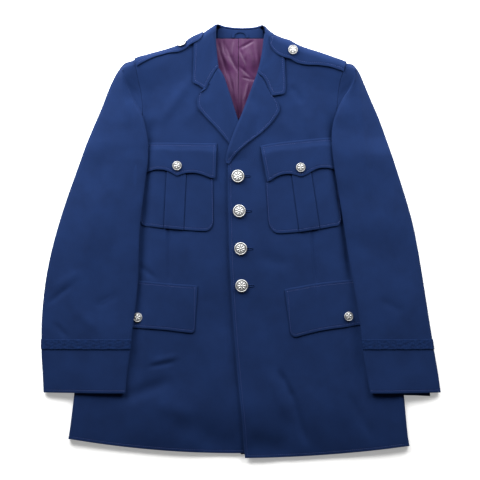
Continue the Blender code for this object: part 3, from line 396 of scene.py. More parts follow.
# %% Turn grids into a mesh
def sheet_mesh(name, patches, faces_up, sewn=()):
    """A mesh of several grids: four neighbouring points make a face, and patches that touch are joined."""
    points, faces, places, hems, cuts, start = [], [], [], [], [], 0
    for patch in patches:
        rows, columns, _ = patch.shape
        index = start + np.arange(rows * columns).reshape(rows, columns)
        corners = (index[:-1, :-1], index[:-1, 1:], index[1:, 1:], index[1:, :-1])
        faces.append(np.stack(corners, axis=-1).reshape(-1, 4))
        across = np.linalg.norm(np.diff(patch, axis=1), axis=-1)
        along = np.linalg.norm(np.diff(patch, axis=0), axis=-1)
        u = np.concatenate([np.zeros((rows, 1)), np.cumsum(across, axis=1)], axis=1)
        u -= u[:, columns // 2:columns // 2 + 1]
        v = np.concatenate([np.zeros((1, columns)), np.cumsum(along, axis=0)])
        points.append(patch.reshape(-1, 3))
        places.append(np.stack([u, v], axis=-1).reshape(-1, 2))
        away = [from_border(patch, border) for border in sewn]
        hems.append(np.min([*away, np.full((rows, columns), FAR_FROM_EDGE)], axis=0).ravel())
        cuts.append((np.ptp(u) * MM, np.ptp(v) * MM))
        start += rows * columns
    points, faces, places = np.concatenate(points) * MM, np.concatenate(faces), np.concatenate(places) * MM
    corner = points[faces]
    normal_z = np.cross(corner[:, 2] - corner[:, 0], corner[:, 3] - corner[:, 1])[:, 2].sum()
    if (normal_z > 0) != faces_up:
        faces = faces[:, ::-1]
    mesh = bpy.data.meshes.new(name)
    mesh.from_pydata(points, [], faces.tolist())
    mesh.uv_layers.new(name="cut").data.foreach_set("uv", places[faces.ravel()].ravel())
    mesh.attributes.new("from_edge", "FLOAT", "POINT").data.foreach_set("value", np.concatenate(hems) * MM)
    build = bmesh.new()
    build.from_mesh(mesh)
    bmesh.ops.remove_doubles(build, verts=build.verts, dist=WELD * MM)
    bmesh.ops.dissolve_degenerate(build, edges=build.edges, dist=WELD * MM)
    build.to_mesh(mesh)
    build.free()
    mesh.shade_smooth()
    widths, lengths = zip(*cuts)
    return mesh, (sum(widths), max(lengths))


# %% [markdown]
# ## Thickness, edges and what lies on what
#
# Serge with its interlining is 1.8 mm thick, and a pressed edge is never sharp. Solidify and Bevel do
# both for every piece alike, where modelling the second face by hand would not keep the thickness even.
# The lowest panels lie on the floor, and each other one rests on the piece that it is sewn to or laid
# over.

# %% Make a piece of cloth from its grid
def face_outwards(mesh):
    """Turns the faces of a closed mesh so that all of them look outwards."""
    build = bmesh.new()
    build.from_mesh(mesh)
    bmesh.ops.recalc_face_normals(build, faces=build.faces)
    build.to_mesh(mesh)
    build.free()


def cloth(name, patches, thick, finish, faces_up=True, sewn=()):
    """A thin wall behind the points of the patches, with its raw edges rounded."""
    node = name.replace("cloth_", "")
    mesh, (width, length) = sheet_mesh(name, patches, faces_up, sewn)
    for border in sewn:
        sewn_lines.append(sewn_line(patches[0], border, INSET))
    made = placed(name, mesh)
    mesh.materials.append(finish)
    wall = made.modifiers.new("wall", "SOLIDIFY")
    wall.thickness = thick * MM
    wall.offset = -1
    edge = made.modifiers.new("turned edge", "BEVEL")
    edge.width = 0.3 * thick * MM
    edge.segments = 2
    edge.limit_method = "ANGLE"
    edge.angle_limit = math.radians(60)
    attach(made, "root")
    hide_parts(node)
    area = sum(face.area for face in mesh.polygons)
    width = max(width, NARROWEST_CUT)
    size = f"{area * 1e4:.0f} cm2, cut {width / MM:.0f} x {length / MM:.0f} mm"
    print(f"{name}: {len(mesh.polygons)} faces, {size}")
    return made


# %% [markdown]
# ## Finishes
#
# Everything but the buttons is thread of some kind, so the finishes differ in gloss, colour and relief
# only. Photographs as textures would blur close by and carry their own light. Node patterns stay sharp,
# and constants for gloss and sheen survive an export.

# %% A node with its settings and links
def linear(code):
    """sRGB hex code to linear colour: the power curve, with its straight foot."""
    values = np.array([int(code[k:k + 2], 16) for k in (1, 3, 5)]) / 255
    return (*np.where(values > 0.04045, ((values + 0.055) / 1.055) ** 2.4, values / 12.92), 1.0)


def node(tree, kind, inputs=None, **settings):
    """Adds a node; a socket among the inputs is linked, and any other value is set."""
    made = tree.nodes.new("ShaderNode" + kind)
    for name, value in settings.items():
        setattr(made, name, value)
    for name, value in (inputs or {}).items():
        if isinstance(value, bpy.types.NodeSocket):
            tree.links.new(value, made.inputs[name])
        else:
            made.inputs[name].default_value = value
    return made


def maths(tree, operation, *values):
    return node(tree, "Math", dict(enumerate(values)), operation=operation).outputs[0]


def mixed(tree, share, first, second):
    """The colour between two sRGB hex codes: the first where the share is 0."""
    colours = {"Factor": share, 6: linear(first), 7: linear(second)}
    return node(tree, "Mix", colours, data_type="RGBA").outputs[2]


def finish_with(name, **sockets):
    """A Principled material with constants on its own sockets; returns it with its tree and shader."""
    made = bpy.data.materials.new(name)
    made.use_nodes = True
    shader = made.node_tree.nodes["Principled BSDF"]
    for socket, value in sockets.items():
        shader.inputs[socket.replace("_", " ")].default_value = value
    return made, made.node_tree, shader


# %% [markdown]
# ## Serge, braid and satin
#
# Twill shows as fine slanting ribs, and wool takes dye a little unevenly. A stitched edge pulls in a
# shallow groove. The ribs could be modelled, but at a millimetre they only scatter light, which a bump
# does as well.

# %% Woven cloth
WAVE_SHARE = 0.444  # scale of the wave texture that draws one rib in a length of 1 along the diagonal
GROOVE = 1.6  # half the width of the groove that a row of stitches pulls in


def woven(name, dark, light, rib, rib_depth, mottle=16.0, groove=True, **sockets):
    """Twill: slanting ribs as a bump, slow mottling in the colour, a groove where the edge is stitched."""
    made, tree, shader = finish_with(name, **sockets)
    cut = node(tree, "UVMap", uv_map="cut").outputs["UV"]
    rib_scale = WAVE_SHARE / (rib * MM)
    fibre_scale = 1 / (0.7 * rib * MM)
    ribs = node(tree, "TexWave", {"Vector": cut, "Scale": rib_scale, "Distortion": 0.6, "Detail": 1.0},
                wave_type="BANDS", bands_direction="DIAGONAL").outputs["Fac"]
    fibre = node(tree, "TexNoise", {"Vector": cut, "Scale": fibre_scale, "Detail": 3.0}).outputs["Fac"]
    slow = {"Vector": cut, "Scale": mottle, "Detail": 5.0, "Roughness": 0.6}
    patches = node(tree, "TexNoise", slow).outputs["Fac"]
    share = maths(tree, "MULTIPLY", patches, fibre)
    share = node(tree, "MapRange", {"Value": share, "From Min": 0.12, "From Max": 0.4}).outputs[0]
    base = mixed(tree, share, dark, light)
    tree.links.new(base, shader.inputs["Base Color"])
    height = maths(tree, "ADD", ribs, fibre)
    if groove:
        edge = node(tree, "Attribute", attribute_name="from_edge").outputs["Fac"]
        off = maths(tree, "ABSOLUTE", maths(tree, "SUBTRACT", edge, INSET * MM))
        clear = node(tree, "MapRange", {"Value": off, "From Max": GROOVE * MM, "To Max": 4.0},
                     interpolation_type="SMOOTHSTEP").outputs[0]
        height = maths(tree, "ADD", height, clear)
    relief = {"Height": height, "Strength": 0.5, "Distance": rib_depth * MM}
    tree.links.new(node(tree, "Bump", relief).outputs["Normal"], shader.inputs["Normal"])
    return made


# Wool serge, woven as a 2/2 twill and pressed: matt, with a little nap. Its ribs are 0.6 mm apart on the
# cloth and drawn 1.3 mm apart here, or they would not show.
serge = woven("wool serge", "#0b1b3b", "#11244a", 1.3, 0.14, Roughness=0.82, Specular_IOR_Level=0.07,
              Sheen_Weight=0.06, Sheen_Roughness=0.45, Sheen_Tint=linear("#8fa0d0"))
# Mohair braid: plaited, darker and with more gloss than the serge under it.
braid = woven("mohair braid", "#0a1733", "#11264e", 1.0, 0.2, mottle=120.0, groove=False,
              Roughness=0.7, Specular_IOR_Level=0.05)
# Rayon satin lining: long floating threads give streaks of light along the folds.
satin = woven("rayon satin", "#301032", "#462048", 0.9, 0.05, groove=False, Roughness=0.5,
              Specular_IOR_Level=0.3, Sheen_Weight=0.15, Sheen_Roughness=0.3, Sheen_Tint=linear("#d9a8d4"))
# Polyester sewing thread, a shade lighter than the cloth.
thread, _, _ = finish_with("sewing thread", Roughness=0.5, Base_Color=linear("#24346a"),
                           Specular_IOR_Level=0.4)


# %% [markdown]
# ## Nickel plate and the pale floor
#
# The buttons are struck brass with a bright plate that has gone dull in its hollows. Each mesh stores
# where those are, so the dull film follows the relief. The floor is white card that glows a little, to
# keep shadows pale.

# %% Button metal and floor
def struck_metal(name):
    """Nickel plate on struck brass: bright, with a dull film left in the hollows."""
    made, tree, shader = finish_with(name, Metallic=1.0)
    place = node(tree, "TexCoord").outputs["Object"]
    film = node(tree, "TexNoise", {"Vector": place, "Scale": 420.0, "Detail": 4.0}).outputs["Fac"]
    film = node(tree, "MapRange", {"Value": film, "From Min": 0.5, "From Max": 0.95}).outputs[0]
    hollow = node(tree, "Attribute", attribute_name="recess").outputs["Fac"]
    film = maths(tree, "MAXIMUM", film, hollow)
    tree.links.new(mixed(tree, film, "#dcdcda", "#2f3034"), shader.inputs["Base Color"])
    rough = node(tree, "MapRange", {"Value": film, "To Min": 0.5, "To Max": 0.65}).outputs[0]
    tree.links.new(rough, shader.inputs["Roughness"])
    bump = node(tree, "Bump", {"Height": film, "Strength": 0.3, "Distance": 0.1 * MM}).outputs["Normal"]
    tree.links.new(bump, shader.inputs["Normal"])
    return made


nickel = struck_metal("nickel plate")
paper, paper_tree, paper_shader = finish_with(
    "white card", Roughness=0.7, Specular_IOR_Level=0.2,
    Emission_Strength=0.3, Emission_Color=linear("#ffffff"))
tooth = node(paper_tree, "TexNoise", {"Scale": 60.0, "Detail": 4.0}).outputs["Fac"]
paper_tree.links.new(mixed(paper_tree, tooth, "#f1f1ef", "#f7f7f6"), paper_shader.inputs["Base Color"])
print("materials:", [m.name for m in bpy.data.materials if m.use_nodes][-6:])

# %% [markdown]
# ## Pattern of the body
#
# Two fronts and two backs make the body. The measures are taken along the outlines in the photograph,
# each side for itself, because nothing laid down by hand is even: the edge, the side, the neck and the
# armhole.

# %% Measures of the body panels
ARMHOLE_OUT = {
    RIGHT: (
        (150, 273), (153, 262), (157.4, 249), (166, 230), (178, 212), (191, 197.5), (205.5, 188), (219, 183),
        (233, 180.6), (247, 180.4), (262, 181.4), (292, 187), (312, 191.5), (334, 199),
    ),
    LEFT: (
        (150, 273), (153, 260), (157.4, 246), (166, 227), (178, 209.5), (191, 195), (205.5, 185.5),
        (219, 180.5), (233, 178.2), (247, 177.6), (262, 178.6), (292, 182.5), (312, 188), (334, 199),
    ),
}
STATION_AROUND = (0.5, 2, 7, 12, 17.3, 26)  # over the rounded shoulder, measured round it
STATION_Y = (298, 283, 262, 247, 240, 233, 219, 205.5, 191, 178, 166, 157.4, ARMPIT_Y)
FRONT_ROWS = {
    RIGHT: (
        # edge_x, edge_y, side_y
        (46, -391.0, -365.5), (44, -378, -352), (39, -330, -306), (33, -262, -245), (27, -180, -170),
        (22, -100, -96), (18, -30, -30), (15, 40, 35), (13.5, 95, 84), (13, 118, 124), (13, 132, 138),
    ),
    LEFT: (
        (8.4, -400.5, -378.5), (7.2, -387, -366), (3.4, -335, -314), (-4, -262, -249), (-11, -180, -172),
        (-16.5, -100, -97), (-20, -30, -30), (-21.8, 40, 35), (-22.8, 95, 84), (-23, 118, 124),
        (-23, 132, 138),
    ),
}
FRONT_NECK = {
    RIGHT: (
        (13, 143), (12.5, 152), (12, 161), (11, 171), (-1, 186), (-7, 202), (-13.5, 219), (-17, 232),
        (-20, 243), (-23.5, 255), (-28, 270), (-36, 296), (-46, 328), (-50, 357), (-52, 372), (-52.5, 377),
        (-53, 382), (-53.5, 386), (-53.5, 389),
    ),
    LEFT: (
        (-22.5, 143), (-21.5, 152), (-18, 163), (-14.5, 176), (-10, 191), (-4.5, 206), (1.5, 219),
        (6.5, 232), (10.5, 243), (15, 256), (21, 271), (32, 297), (43, 328), (48, 355), (51, 370),
        (52, 374), (53, 379), (53.5, 383), (53.5, 386),
    ),
}
HEM_DIP = {RIGHT: 9.0, LEFT: 5.0}  # the hem bows below the line from corner to edge
print("places down each front:", [len(FRONT_ROWS[side]) + len(FRONT_NECK[side]) for side, _ in SIDES])


# %% [markdown]
# ## Armhole and seam allowance
#
# Front, back and sleeve meet at the armhole, so all three read one list of places along it. A seam
# allowance runs on under the next piece, as sewn cloth does, and no light comes through the seam.

# %% Places along the armhole
ARMHOLE_TOP_Y = (333, 312)  # where the armhole's first and last place over the shoulder are


def armhole_stations(side):
    """Plan places along the armhole, from the shoulder's outline down to the armpit."""
    low_x = curve(ARMHOLE_OUT[side], STATION_Y)
    heights = np.interp(STATION_AROUND, (0, STATION_AROUND[-1]), ARMHOLE_TOP_Y)
    high_x = curve(ARMHOLE_OUT[side], heights)
    high = round_shoulder(side * high_x, STATION_AROUND, 0)[:, :2]
    low = np.stack([side * low_x, STATION_Y], axis=-1)
    return np.concatenate([high, low])


EDGE_BAND = 9.0  # a pressed edge stands off over this width, and a flap's over a little more
EDGE_RISE = 1.1  # how far the front's pressed edge stands off the front below it
DENT = 1.6  # how deep the upper front's edge presses into the lower one
TUCKS = ((0, 0), (0.15, 0.9), (0.5, 1.7), (4.0, 1.9))  # run and drop of a seam allowance


def turned_under(border, inner, side):
    """A seam allowance: it leaves the border, dips below the cloth and runs on under the next piece."""
    away = border - inner
    away /= np.linalg.norm(away, axis=-1, keepdims=True)
    down = np.cross(np.gradient(border, axis=0), away) * side
    down /= np.linalg.norm(down, axis=-1, keepdims=True)
    return np.stack([border + away * run + down * drop for run, drop in TUCKS], axis=1)


# %% [markdown]
# ## Fronts
#
# A front runs from its pressed edge round the side fold to the side seam underneath, and up to neck and
# armhole. It could be two panels with a visible side seam, but in the photograph the cloth just rolls
# away. The wearer's left front laps over, so it climbs over the other and dents it along the edge.

# %% Sew the fronts
HEM_FADE = (-395, -250)  # the hem's bow dies out between these
CLOSING_TOP = (120, 150)  # and the pressed edge between these, below the lapel


def make_front(side, name, finish):
    """Rows from the edge to the side fold below the armpit, and to the armhole seam above it.

    Their height is the body's own, or near the shoulder its rounding. At the side a half circle goes on from
    them and a flat strip follows to the side seam.
    """
    shares = (0, 0.03, 0.075, 0.13, 0.2, 0.29, 0.4, 0.52, 0.64, 0.76, 0.88, 1)
    rows = np.array(FRONT_ROWS[side], float)
    stations = armhole_stations(side)[::-1]
    neck = np.array(FRONT_NECK[side], float)
    side_x = side * curve(SIDE_OUT[side], rows[:, 2])
    fold = SIDE_HEIGHT / 2
    flat_end = np.stack([side_x - side * fold, rows[:, 2]], axis=-1)
    plan_low = on_grid(rows[:, :2], flat_end, shares)
    dip = HEM_DIP[side] * 4 * np.array(shares) * (1 - np.array(shares))
    fade = 1 - step(rows[:, 1], *HEM_FADE)
    plan_low[:, :, 1] -= fade[:, None] * dip[None, :]
    plan_high = on_grid(neck, stations, shares)
    plan = np.concatenate([plan_low, plan_high])
    around = around_at(plan[..., 0], plan[..., 1], 0)
    around[-len(STATION_AROUND):] = np.array(STATION_AROUND[::-1])[:, None]
    place = cells(with_height(plan, around))
    on_round = round_shoulder(place[..., 0], place[..., 2], 0)
    on_flat = with_height(place[..., :2], body_top(place[..., 0], place[..., 1]))
    below = shoulder_centre(place[..., 0])[0] - place[..., 1]
    top = between(on_round, on_flat, step(below, 8, 40)[..., None])
    closed = 1 - step(top[..., 1], *CLOSING_TOP)
    if side == LEFT:
        top[..., 2] += under_edge_climb(top[..., 0], top[..., 1])
        top[..., 2] += EDGE_RISE * closed * (1 - step(from_border(top, "first column"), 0, EDGE_BAND))
    else:
        edge = np.array(FRONT_ROWS[LEFT], float)
        beside = top[..., 0] - np.interp(top[..., 1], edge[:, 1], edge[:, 0]) + 1.5
        top[..., 2] -= DENT * closed * np.exp(-((beside / 3.5) ** 2))
    count = int(np.argmax(top[:, -1, 1] >= rows[-1, 2] - 0.01)) + 1
    edge_x, edge_y = top[:count, -1, 0] + side * fold, top[:count, -1, 1]
    turn = np.radians(np.linspace(90, -90, 13))
    out = edge_x[:, None] + side * fold * (np.cos(turn) - 1)
    seam = edge_x - side * curve(SIDE_SEAM_IN, edge_y)
    flat = between(out[:, -1:], seam[:, None], np.array((0.25, 0.5, 0.75, 1)))
    out = np.concatenate([out, flat], axis=1)
    height = np.concatenate([fold + fold * np.sin(turn), np.zeros(4)])
    wrap = np.stack([out, *np.broadcast_arrays(edge_y[:, None], height[None, :])], axis=-1)
    tuck = turned_under(top[count - 1:, -1], top[count - 1:, -2], side)
    return cloth(name, [top, wrap, tuck], CLOTH, finish, sewn=("first row", "first column"))


# %% [markdown]
# ## Backs
#
# The backs carry the coat on the table and are flat there. They hardly show, so their seam down the
# middle is plain and their grid coarser. At the top they rise over the roll of the shoulder.

# %% Sew the backs
NECK_LEVELS = (327, 341, 351, 360, 368, 371.5)
NECK_HALF_WIDTH = (42, 47, 52, 56, 59, 60)  # at each of these levels


def make_back(side, name, finish):
    """Rows from the centre back seam to the side seam, the armhole and, over its rounding, the shoulder."""
    shares = (0, 0.2, 0.4, 0.6, 0.8, 1)
    rows = np.array(FRONT_ROWS[side], float)
    seam_out = curve(SIDE_OUT[side], rows[:, 2]) - curve(SIDE_SEAM_IN, rows[:, 2]) - SEAM
    outer = np.stack([side * seam_out, rows[:, 2]], axis=-1)
    stations = armhole_stations(side)[::-1]
    stations[0, 0] = outer[-1, 0]
    outer = np.concatenate([outer, stations])
    levels = np.concatenate([rows[:, 2], STATION_Y[::-1], NECK_LEVELS])
    levels[: len(rows)] += np.linspace(-16, 0, len(rows)) * (1 - step(rows[:, 2], -395, -100))
    inner = np.stack([np.full(len(levels), side * SEAM / 2), levels], axis=-1)
    plan = on_grid(inner, outer, shares)
    along = len(STATION_AROUND)
    for row, around in enumerate(STATION_AROUND[::-1]):
        k = len(plan) - along + row
        x = plan[k, :, 0]
        free = step(np.abs(x), NECK_HALF_WIDTH[row] - 40, NECK_HALF_WIDTH[row])
        shoulder_y = round_shoulder(x, around, 0)[:, 1]
        plan[k, :, 1] = between(levels[k], shoulder_y, free)
    sheet = with_height(plan, back_lift(plan[..., 0], plan[..., 1]))
    grid = cells(sheet, 2 * CELL)
    armhole = grid[grid[:, -1, 1] >= ARMPIT_Y]
    tuck = turned_under(armhole[:, -1], armhole[:, -2], -side)
    return cloth(name, [grid, tuck], CLOTH, finish, faces_up=False)


for side, word in SIDES:
    make_front(side, f"cloth_front_{word}", serge)
    make_back(side, f"cloth_back_{word}", serge)

# %% [markdown]
# ## Collar and lapels
#
# A collar is a strip that stands up at the neck and falls over along a fold, and a lapel is the front
# turned back along its roll line. Both are measured from the fold to the outer edge. A fold pressed flat
# is still round, so the first few millimetres curl down.

# %% Measures of collar and lapels
CURL_RUN = (0.0, 1.4, 4.0)  # distances in from a rolled edge
CURL_FALL = (1.0, 0.35, 0.0)  # share of the roll's drop at each
LAPEL_ROWS = {
    LEFT: (
        # roll_x, roll_y, edge_x, edge_y
        (-27.2, 144, -21.5, 141.5), (-27, 152, -14, 152.5), (-25, 163, -4.5, 164),
        (-20.4, 178.7, 14, 180.5), (-15.6, 192, 27.3, 190.8), (-10.5, 205.5, 40.6, 201),
        (0.8, 231, 62.1, 224), (8.5, 251, 72.1, 243.5), (16.2, 271, 67.6, 257), (23, 289.5, 61, 262.9),
        (30.2, 309.6, 57.6, 266.6),
    ),
    RIGHT: (
        (-2.5, 221, -17, 174), (-5.3, 226.4, -25, 184), (-11.4, 245, -45.2, 208.1),
        (-17.5, 265, -69.7, 234.2), (-23.7, 283, -78.4, 246), (-29.9, 301.7, -79.5, 259.2),
        (-35, 311, -75, 270), (-39.6, 318, -64.8, 278.2),
    ),
}
COLLAR_ROWS = {
    LEFT: (
        # fold_x, fold_y, edge_x, edge_y
        (30.8, 310.4, 58.4, 267.2), (34, 322, 70.4, 268.6), (36.3, 332, 81.1, 272), (38.6, 344, 82.8, 290),
        (40.2, 356, 81.8, 313), (41.6, 368, 80.6, 336), (42.5, 376, 81.5, 351),
    ),
    RIGHT: (
        (-40.2, 318.9, -65.4, 279), (-41, 327, -76, 285.5), (-42, 335, -87.8, 293.6), (-43, 345, -87.2, 308),
        (-44, 356, -86.4, 327), (-45, 368, -86, 344), (-45.3, 378, -86.2, 357),
    ),
}
COLLAR_ROUND = (
    # fold_out, fold_around, edge_out, edge_around
    (44.8, 22, 85, 6), (44.2, 12, 82, -6), (43.4, 5, 76, -17), (41.5, 4, 68, -28), (37.5, 6.5, 58, -38),
    (28, 5.2, 42, -42), (14, 5.2, 21, -44),
)
COLLAR_MIDDLE = (0, 5.2, 0, -45)
COLLAR_LEVELS = (0, 1, 2, 3, 4, 5, 6, 6.25, 6.5, 6.75, 7, 7.5, 8, 8.5, 9, 9.5, 10, 11, 12, 13, 14)
COLLAR_SHARES = (0.12, 0.26, 0.42, 0.6, 0.8, 1)
LOOP_WIDTH = 5.0
STAND_TOP = 6.6  # height of the collar stand, on which the loop lies
GORGE_WAY = (0.84, 0.54)  # outwards and up: the direction from the lapel across the gorge seam to the collar
GORGE_REACH = 0.42
GORGE_TUCK = ((0.3, 0.9), (1.4, 1.3), (2.8, 1.4))  # run and drop of the seam allowance under the collar
EDGE_LIFT = 0.5  # pressed edges stand up a little from what they lie on
NECK_SEAM_Y = 373.5  # where the lining and the back meet the collar stand


def rolled_shares(rolls, edges, shares):
    """Shares of the way from roll to edge: close together where the roll turns down, then as given."""
    length = np.linalg.norm(edges - rolls, axis=1)[:, None]
    near = np.minimum(np.array(CURL_RUN)[None, :] / length, (0.0, 0.2, 0.4))
    return np.concatenate([near, between(near[:, -1:], 1, np.asarray(shares)[None, :])], axis=1)


def gorge_shift(side):
    """How far lapel and collar each reach towards the other, to leave only a fine seam between them."""
    out, up = GORGE_WAY
    return GORGE_REACH * np.array([side * out, up, side * out, up])


def collar_half(side, lift):
    """Fold and outer edge of half the collar, as places (x, around), from the gorge seam to mid neck."""
    front = np.array(COLLAR_ROWS[side], float)
    front[0] -= gorge_shift(side)
    round_neck = np.array(COLLAR_ROUND + (COLLAR_MIDDLE,), float)
    on_front = np.stack([
        side * front[:, 0], around_at(front[:, 0], front[:, 1], lift),
        side * front[:, 2], around_at(front[:, 2], front[:, 3], lift),
    ], axis=-1)
    knots = np.concatenate([on_front, round_neck])
    at = np.array(COLLAR_LEVELS)
    rows = np.stack([curve(list(enumerate(knots[:, k])), at) for k in range(4)], axis=-1)
    drop = 0.9 * (1 - step(at, len(front) - 1, len(front) + 2))
    return rows * (side, 1, side, 1), drop


# %% [markdown]
# ## Lapels, collar leaf and stand
#
# Each lapel is a piece of its own, because the roll line is where the cloth turns over and the model is
# simpler with a seam there. The collar leaf runs in one piece from notch to notch, round the neck and
# under the straps' button ends. Simulation would settle them too, but not on the outlines that were
# measured.

# %% Turn the lapels and the collar
def make_lapel(side, name, finish):
    """Rows from the roll line to the outer edge; the roll turns down on its own small curve."""
    rows = np.array(LAPEL_ROWS[side], float)
    rows[-1] += gorge_shift(side)
    rows = fine(rows[:, None], CELL)[:, 0]
    rolls, edges = rows[:, :2], rows[:, 2:]
    shares = rolled_shares(rolls, edges, (0.15, 0.35, 0.6, 0.85, 1))
    plan = between(rolls[:, None], edges[:, None], shares[..., None])
    fall = np.zeros(plan.shape[:2])
    fall[:, : len(CURL_FALL)] = CURL_FALL
    place = fine(with_height(plan, fall), CELL, axis=1)
    z = front_top(side, place[..., 0], place[..., 1]) + LAYER + LAPEL_SLACK - ROLL_DROP * place[..., 2]
    edge = 1 - step(from_border(place, "last column"), 0, EDGE_BAND)
    below_gorge = 1 - step(place[..., 1], place[..., 1].max() - 60, place[..., 1].max() - 25)
    z += EDGE_LIFT * edge * step(place[..., 1], 150, 185) * below_gorge
    sheet = with_height(place[..., :2], z)
    tuck = (1 - np.linspace(0, 1, sheet.shape[1]) ** 8)[None, :, None]
    out, up = GORGE_WAY
    turned = [sheet[-1:] + tuck * np.array([side * out * run, up * run, -drop]) for run, drop in GORGE_TUCK]
    return cloth(name, [np.concatenate([sheet, *turned])], CLOTH, finish, sewn=("last column",))


def make_collar_leaf(name, finish):
    """Rows from notch to notch: each runs from the fold to the outer edge, curls down at the fold, and is
    laid round the shoulder's circle by its distance from the outline."""
    right, right_drop = collar_half(RIGHT, COVER)
    left, left_drop = collar_half(LEFT, COVER)
    rows = np.concatenate([right, left[-2::-1]])
    drop = np.concatenate([right_drop, left_drop[-2::-1]])
    starts, ends = rows[:, :2], rows[:, 2:]
    place = between(starts[:, None], ends[:, None], rolled_shares(starts, ends, COLLAR_SHARES)[..., None])
    fall = np.zeros(place.shape[:2])
    fall[:, : len(CURL_FALL)] = drop[:, None] * np.array(CURL_FALL)
    place = cells(with_height(place, fall))
    sheet = round_shoulder(place[..., 0], place[..., 1], COVER)
    sheet[..., 2] -= ROLL_DROP * place[..., 2]
    edge = 1 - step(from_border(sheet, "last column"), 0, EDGE_BAND)
    sheet[..., 2] += EDGE_LIFT * edge * step(place[..., 1], 26, 60)
    return cloth(name, [sheet], CLOTH, finish, sewn=("first row", "last row", "last column"))


def make_collar_stand(name, finish):
    """The inside of the collar between the lining and the fold at the back of the neck."""
    x = np.linspace(-43, 41.5, 27)
    centre_y, _ = shoulder_centre(x)
    top = np.stack([x, np.minimum(centre_y - 0.6, 395.5 - 0.02 * np.abs(x)), np.full(27, STAND_TOP)], axis=-1)
    foot = np.stack([x, np.full(27, NECK_SEAM_Y + SEAM), np.full(27, 6.3)], axis=-1)
    return cloth(name, [on_grid(foot, top, np.linspace(0, 1, 8))], CLOTH - 0.2, finish)


# %% [markdown]
# ## Lining and hanger loop
#
# Inside the neck the back is lined with burgundy satin, cut wider than the serge and laid in a centre
# pleat, so that the shoulders can move. Thin satin creases more sharply than serge, and its folds are
# listed one by one. The loop is a tape that is sewn in under the collar.

# %% Line the back of the neck
LINING_FOLDS = (
    (-40, 361, -25, 309, 2.4, -1.5), (-27, 361, -8, 320, 2.2, -1.5), (-32, 368, -29, 342, 2.0, -1.2),
    (-20, 342, -7, 316, 2.0, -1.4), (1, 357, 21, 368, 2.4, -1.6), (-1, 353, 10, 329, 2.2, -1.6),
    (1, 320, 25, 298, 2.4, -1.7), (6, 302, 27, 297, 2.0, -1.5), (-35, 352, -20, 322, 3.4, 1.4),
    (14, 352, 22, 318, 5.0, 1.6), (28, 366, 33, 330, 3.0, 1.2), (-6, 300, -4, 240, 2.0, 1.6),
    (3, 290, 2, 236, 2.2, -1.3), (-14, 300, -9, 262, 2.4, 1.3), (-22, 312, -14, 280, 2.2, -1.2),
    (14, 290, 8, 262, 2.6, 1.2), (-12, 366, -14, 344, 2.4, 1.1), (8, 344, 6, 318, 2.2, 1.0),
)


def make_lining(side, name, finish):
    """Half the back lining as far as the neck shows it; the left half laps over in the centre pleat."""
    y = np.array((196, 222, 250, 280, 310, 335, 350, 362, NECK_SEAM_Y), float)
    out = np.interp(y, (196, 310, 340, 374), (26, 62, 63, 47))
    pleat = -3.5 + side * SEAM / 2
    inner = np.stack([np.full(len(y), pleat), y], axis=-1)
    plan = on_grid(inner, np.stack([side * out, y], axis=-1), (0, 0.08, 0.2, 0.6, 1))
    z = back_lift(plan[..., 0], plan[..., 1]) + CLOTH + 2 * SEAM + SATIN + CLEAR
    if side == LEFT:
        z[:, :2] += 1.2
    sheet = cells(with_height(plan, z), 1.6)
    sheet[..., 2] += folds(sheet[..., 0], sheet[..., 1], LINING_FOLDS)
    return cloth(name, [sheet], SATIN, finish)


def make_hanger_loop(name, finish):
    """A tape carried along half an oval in front of the collar stand."""
    angle = np.radians(np.linspace(180, 0, 41))
    middle = np.stack([-0.7 + 13.3 * np.cos(angle), NECK_SEAM_Y + 1.5 + 12 * np.sin(angle) ** 0.8], axis=-1)
    run = np.gradient(middle, axis=0)
    across = np.stack([-run[:, 1], run[:, 0]], axis=-1) / np.linalg.norm(run, axis=1)[:, None]
    plan = on_grid(middle - across * LOOP_WIDTH / 2, middle + across * LOOP_WIDTH / 2, np.linspace(0, 1, 5))
    sheet = with_height(plan, np.full(plan.shape[:2], STAND_TOP + SEAM + SATIN))
    return cloth(name, [sheet], SATIN, finish)


# %% [markdown]
# ## Put the neck together
#
# The lining is laid in first, and the lapels, the collar and the loop follow.

# %% Collar, lapels and lining
for side, word in SIDES:
    make_lining(side, f"cloth_lining_{word}", satin)
    make_lapel(side, f"cloth_lapel_{word}", serge)
make_collar_leaf("cloth_collar_leaf", serge)
make_collar_stand("cloth_collar_stand", serge)
make_hanger_loop("cloth_hanger_loop", serge)

# %% [markdown]
# ## Straps, pockets and flaps
#
# What is sewn on a front is measured in columns from its top seam to its foot, so that a scalloped foot
# needs no more than a few places. The right strap turns over the shoulder's edge and shows as a sliver.

# %% Measures of straps, pockets and flaps
STRAP_ROWS = {
    LEFT: (
        # front_out, back_out, middle_around, half_width
        (53.5, 53.5, 30, 4.5), (55.5, 55.5, 29.5, 10), (60, 60, 29, 15), (67, 67, 28, 18.3),
        (76, 76, 27.3, 19.3), (92, 92, 25.6, 20), (108, 108, 22.6, 20.5), (126, 126, 18, 21),
        (136, 136, 14.8, 21.5), (146, 146, 11.8, 22), (166, 166, 7.4, 22.6), (182, 188, 6.4, 23.2),
        (189, 198, 6.2, 23.6),
    ),
    RIGHT: (
        (69, 69, 10, 4.5), (71, 71, 9.5, 9.5), (75.5, 75.5, 8.5, 14), (82, 82, 7.5, 16.5),
        (90, 90, 6.5, 17.5), (102, 102, 5, 18.5), (114, 114, 3.5, 19), (130, 130, -0.8, 19),
        (139, 139, -1.8, 19.1), (148, 148, -2, 19.3), (166, 166, -1, 20), (182, 186, 2, 21),
        (191, 197.5, 4, 22),
    ),
}
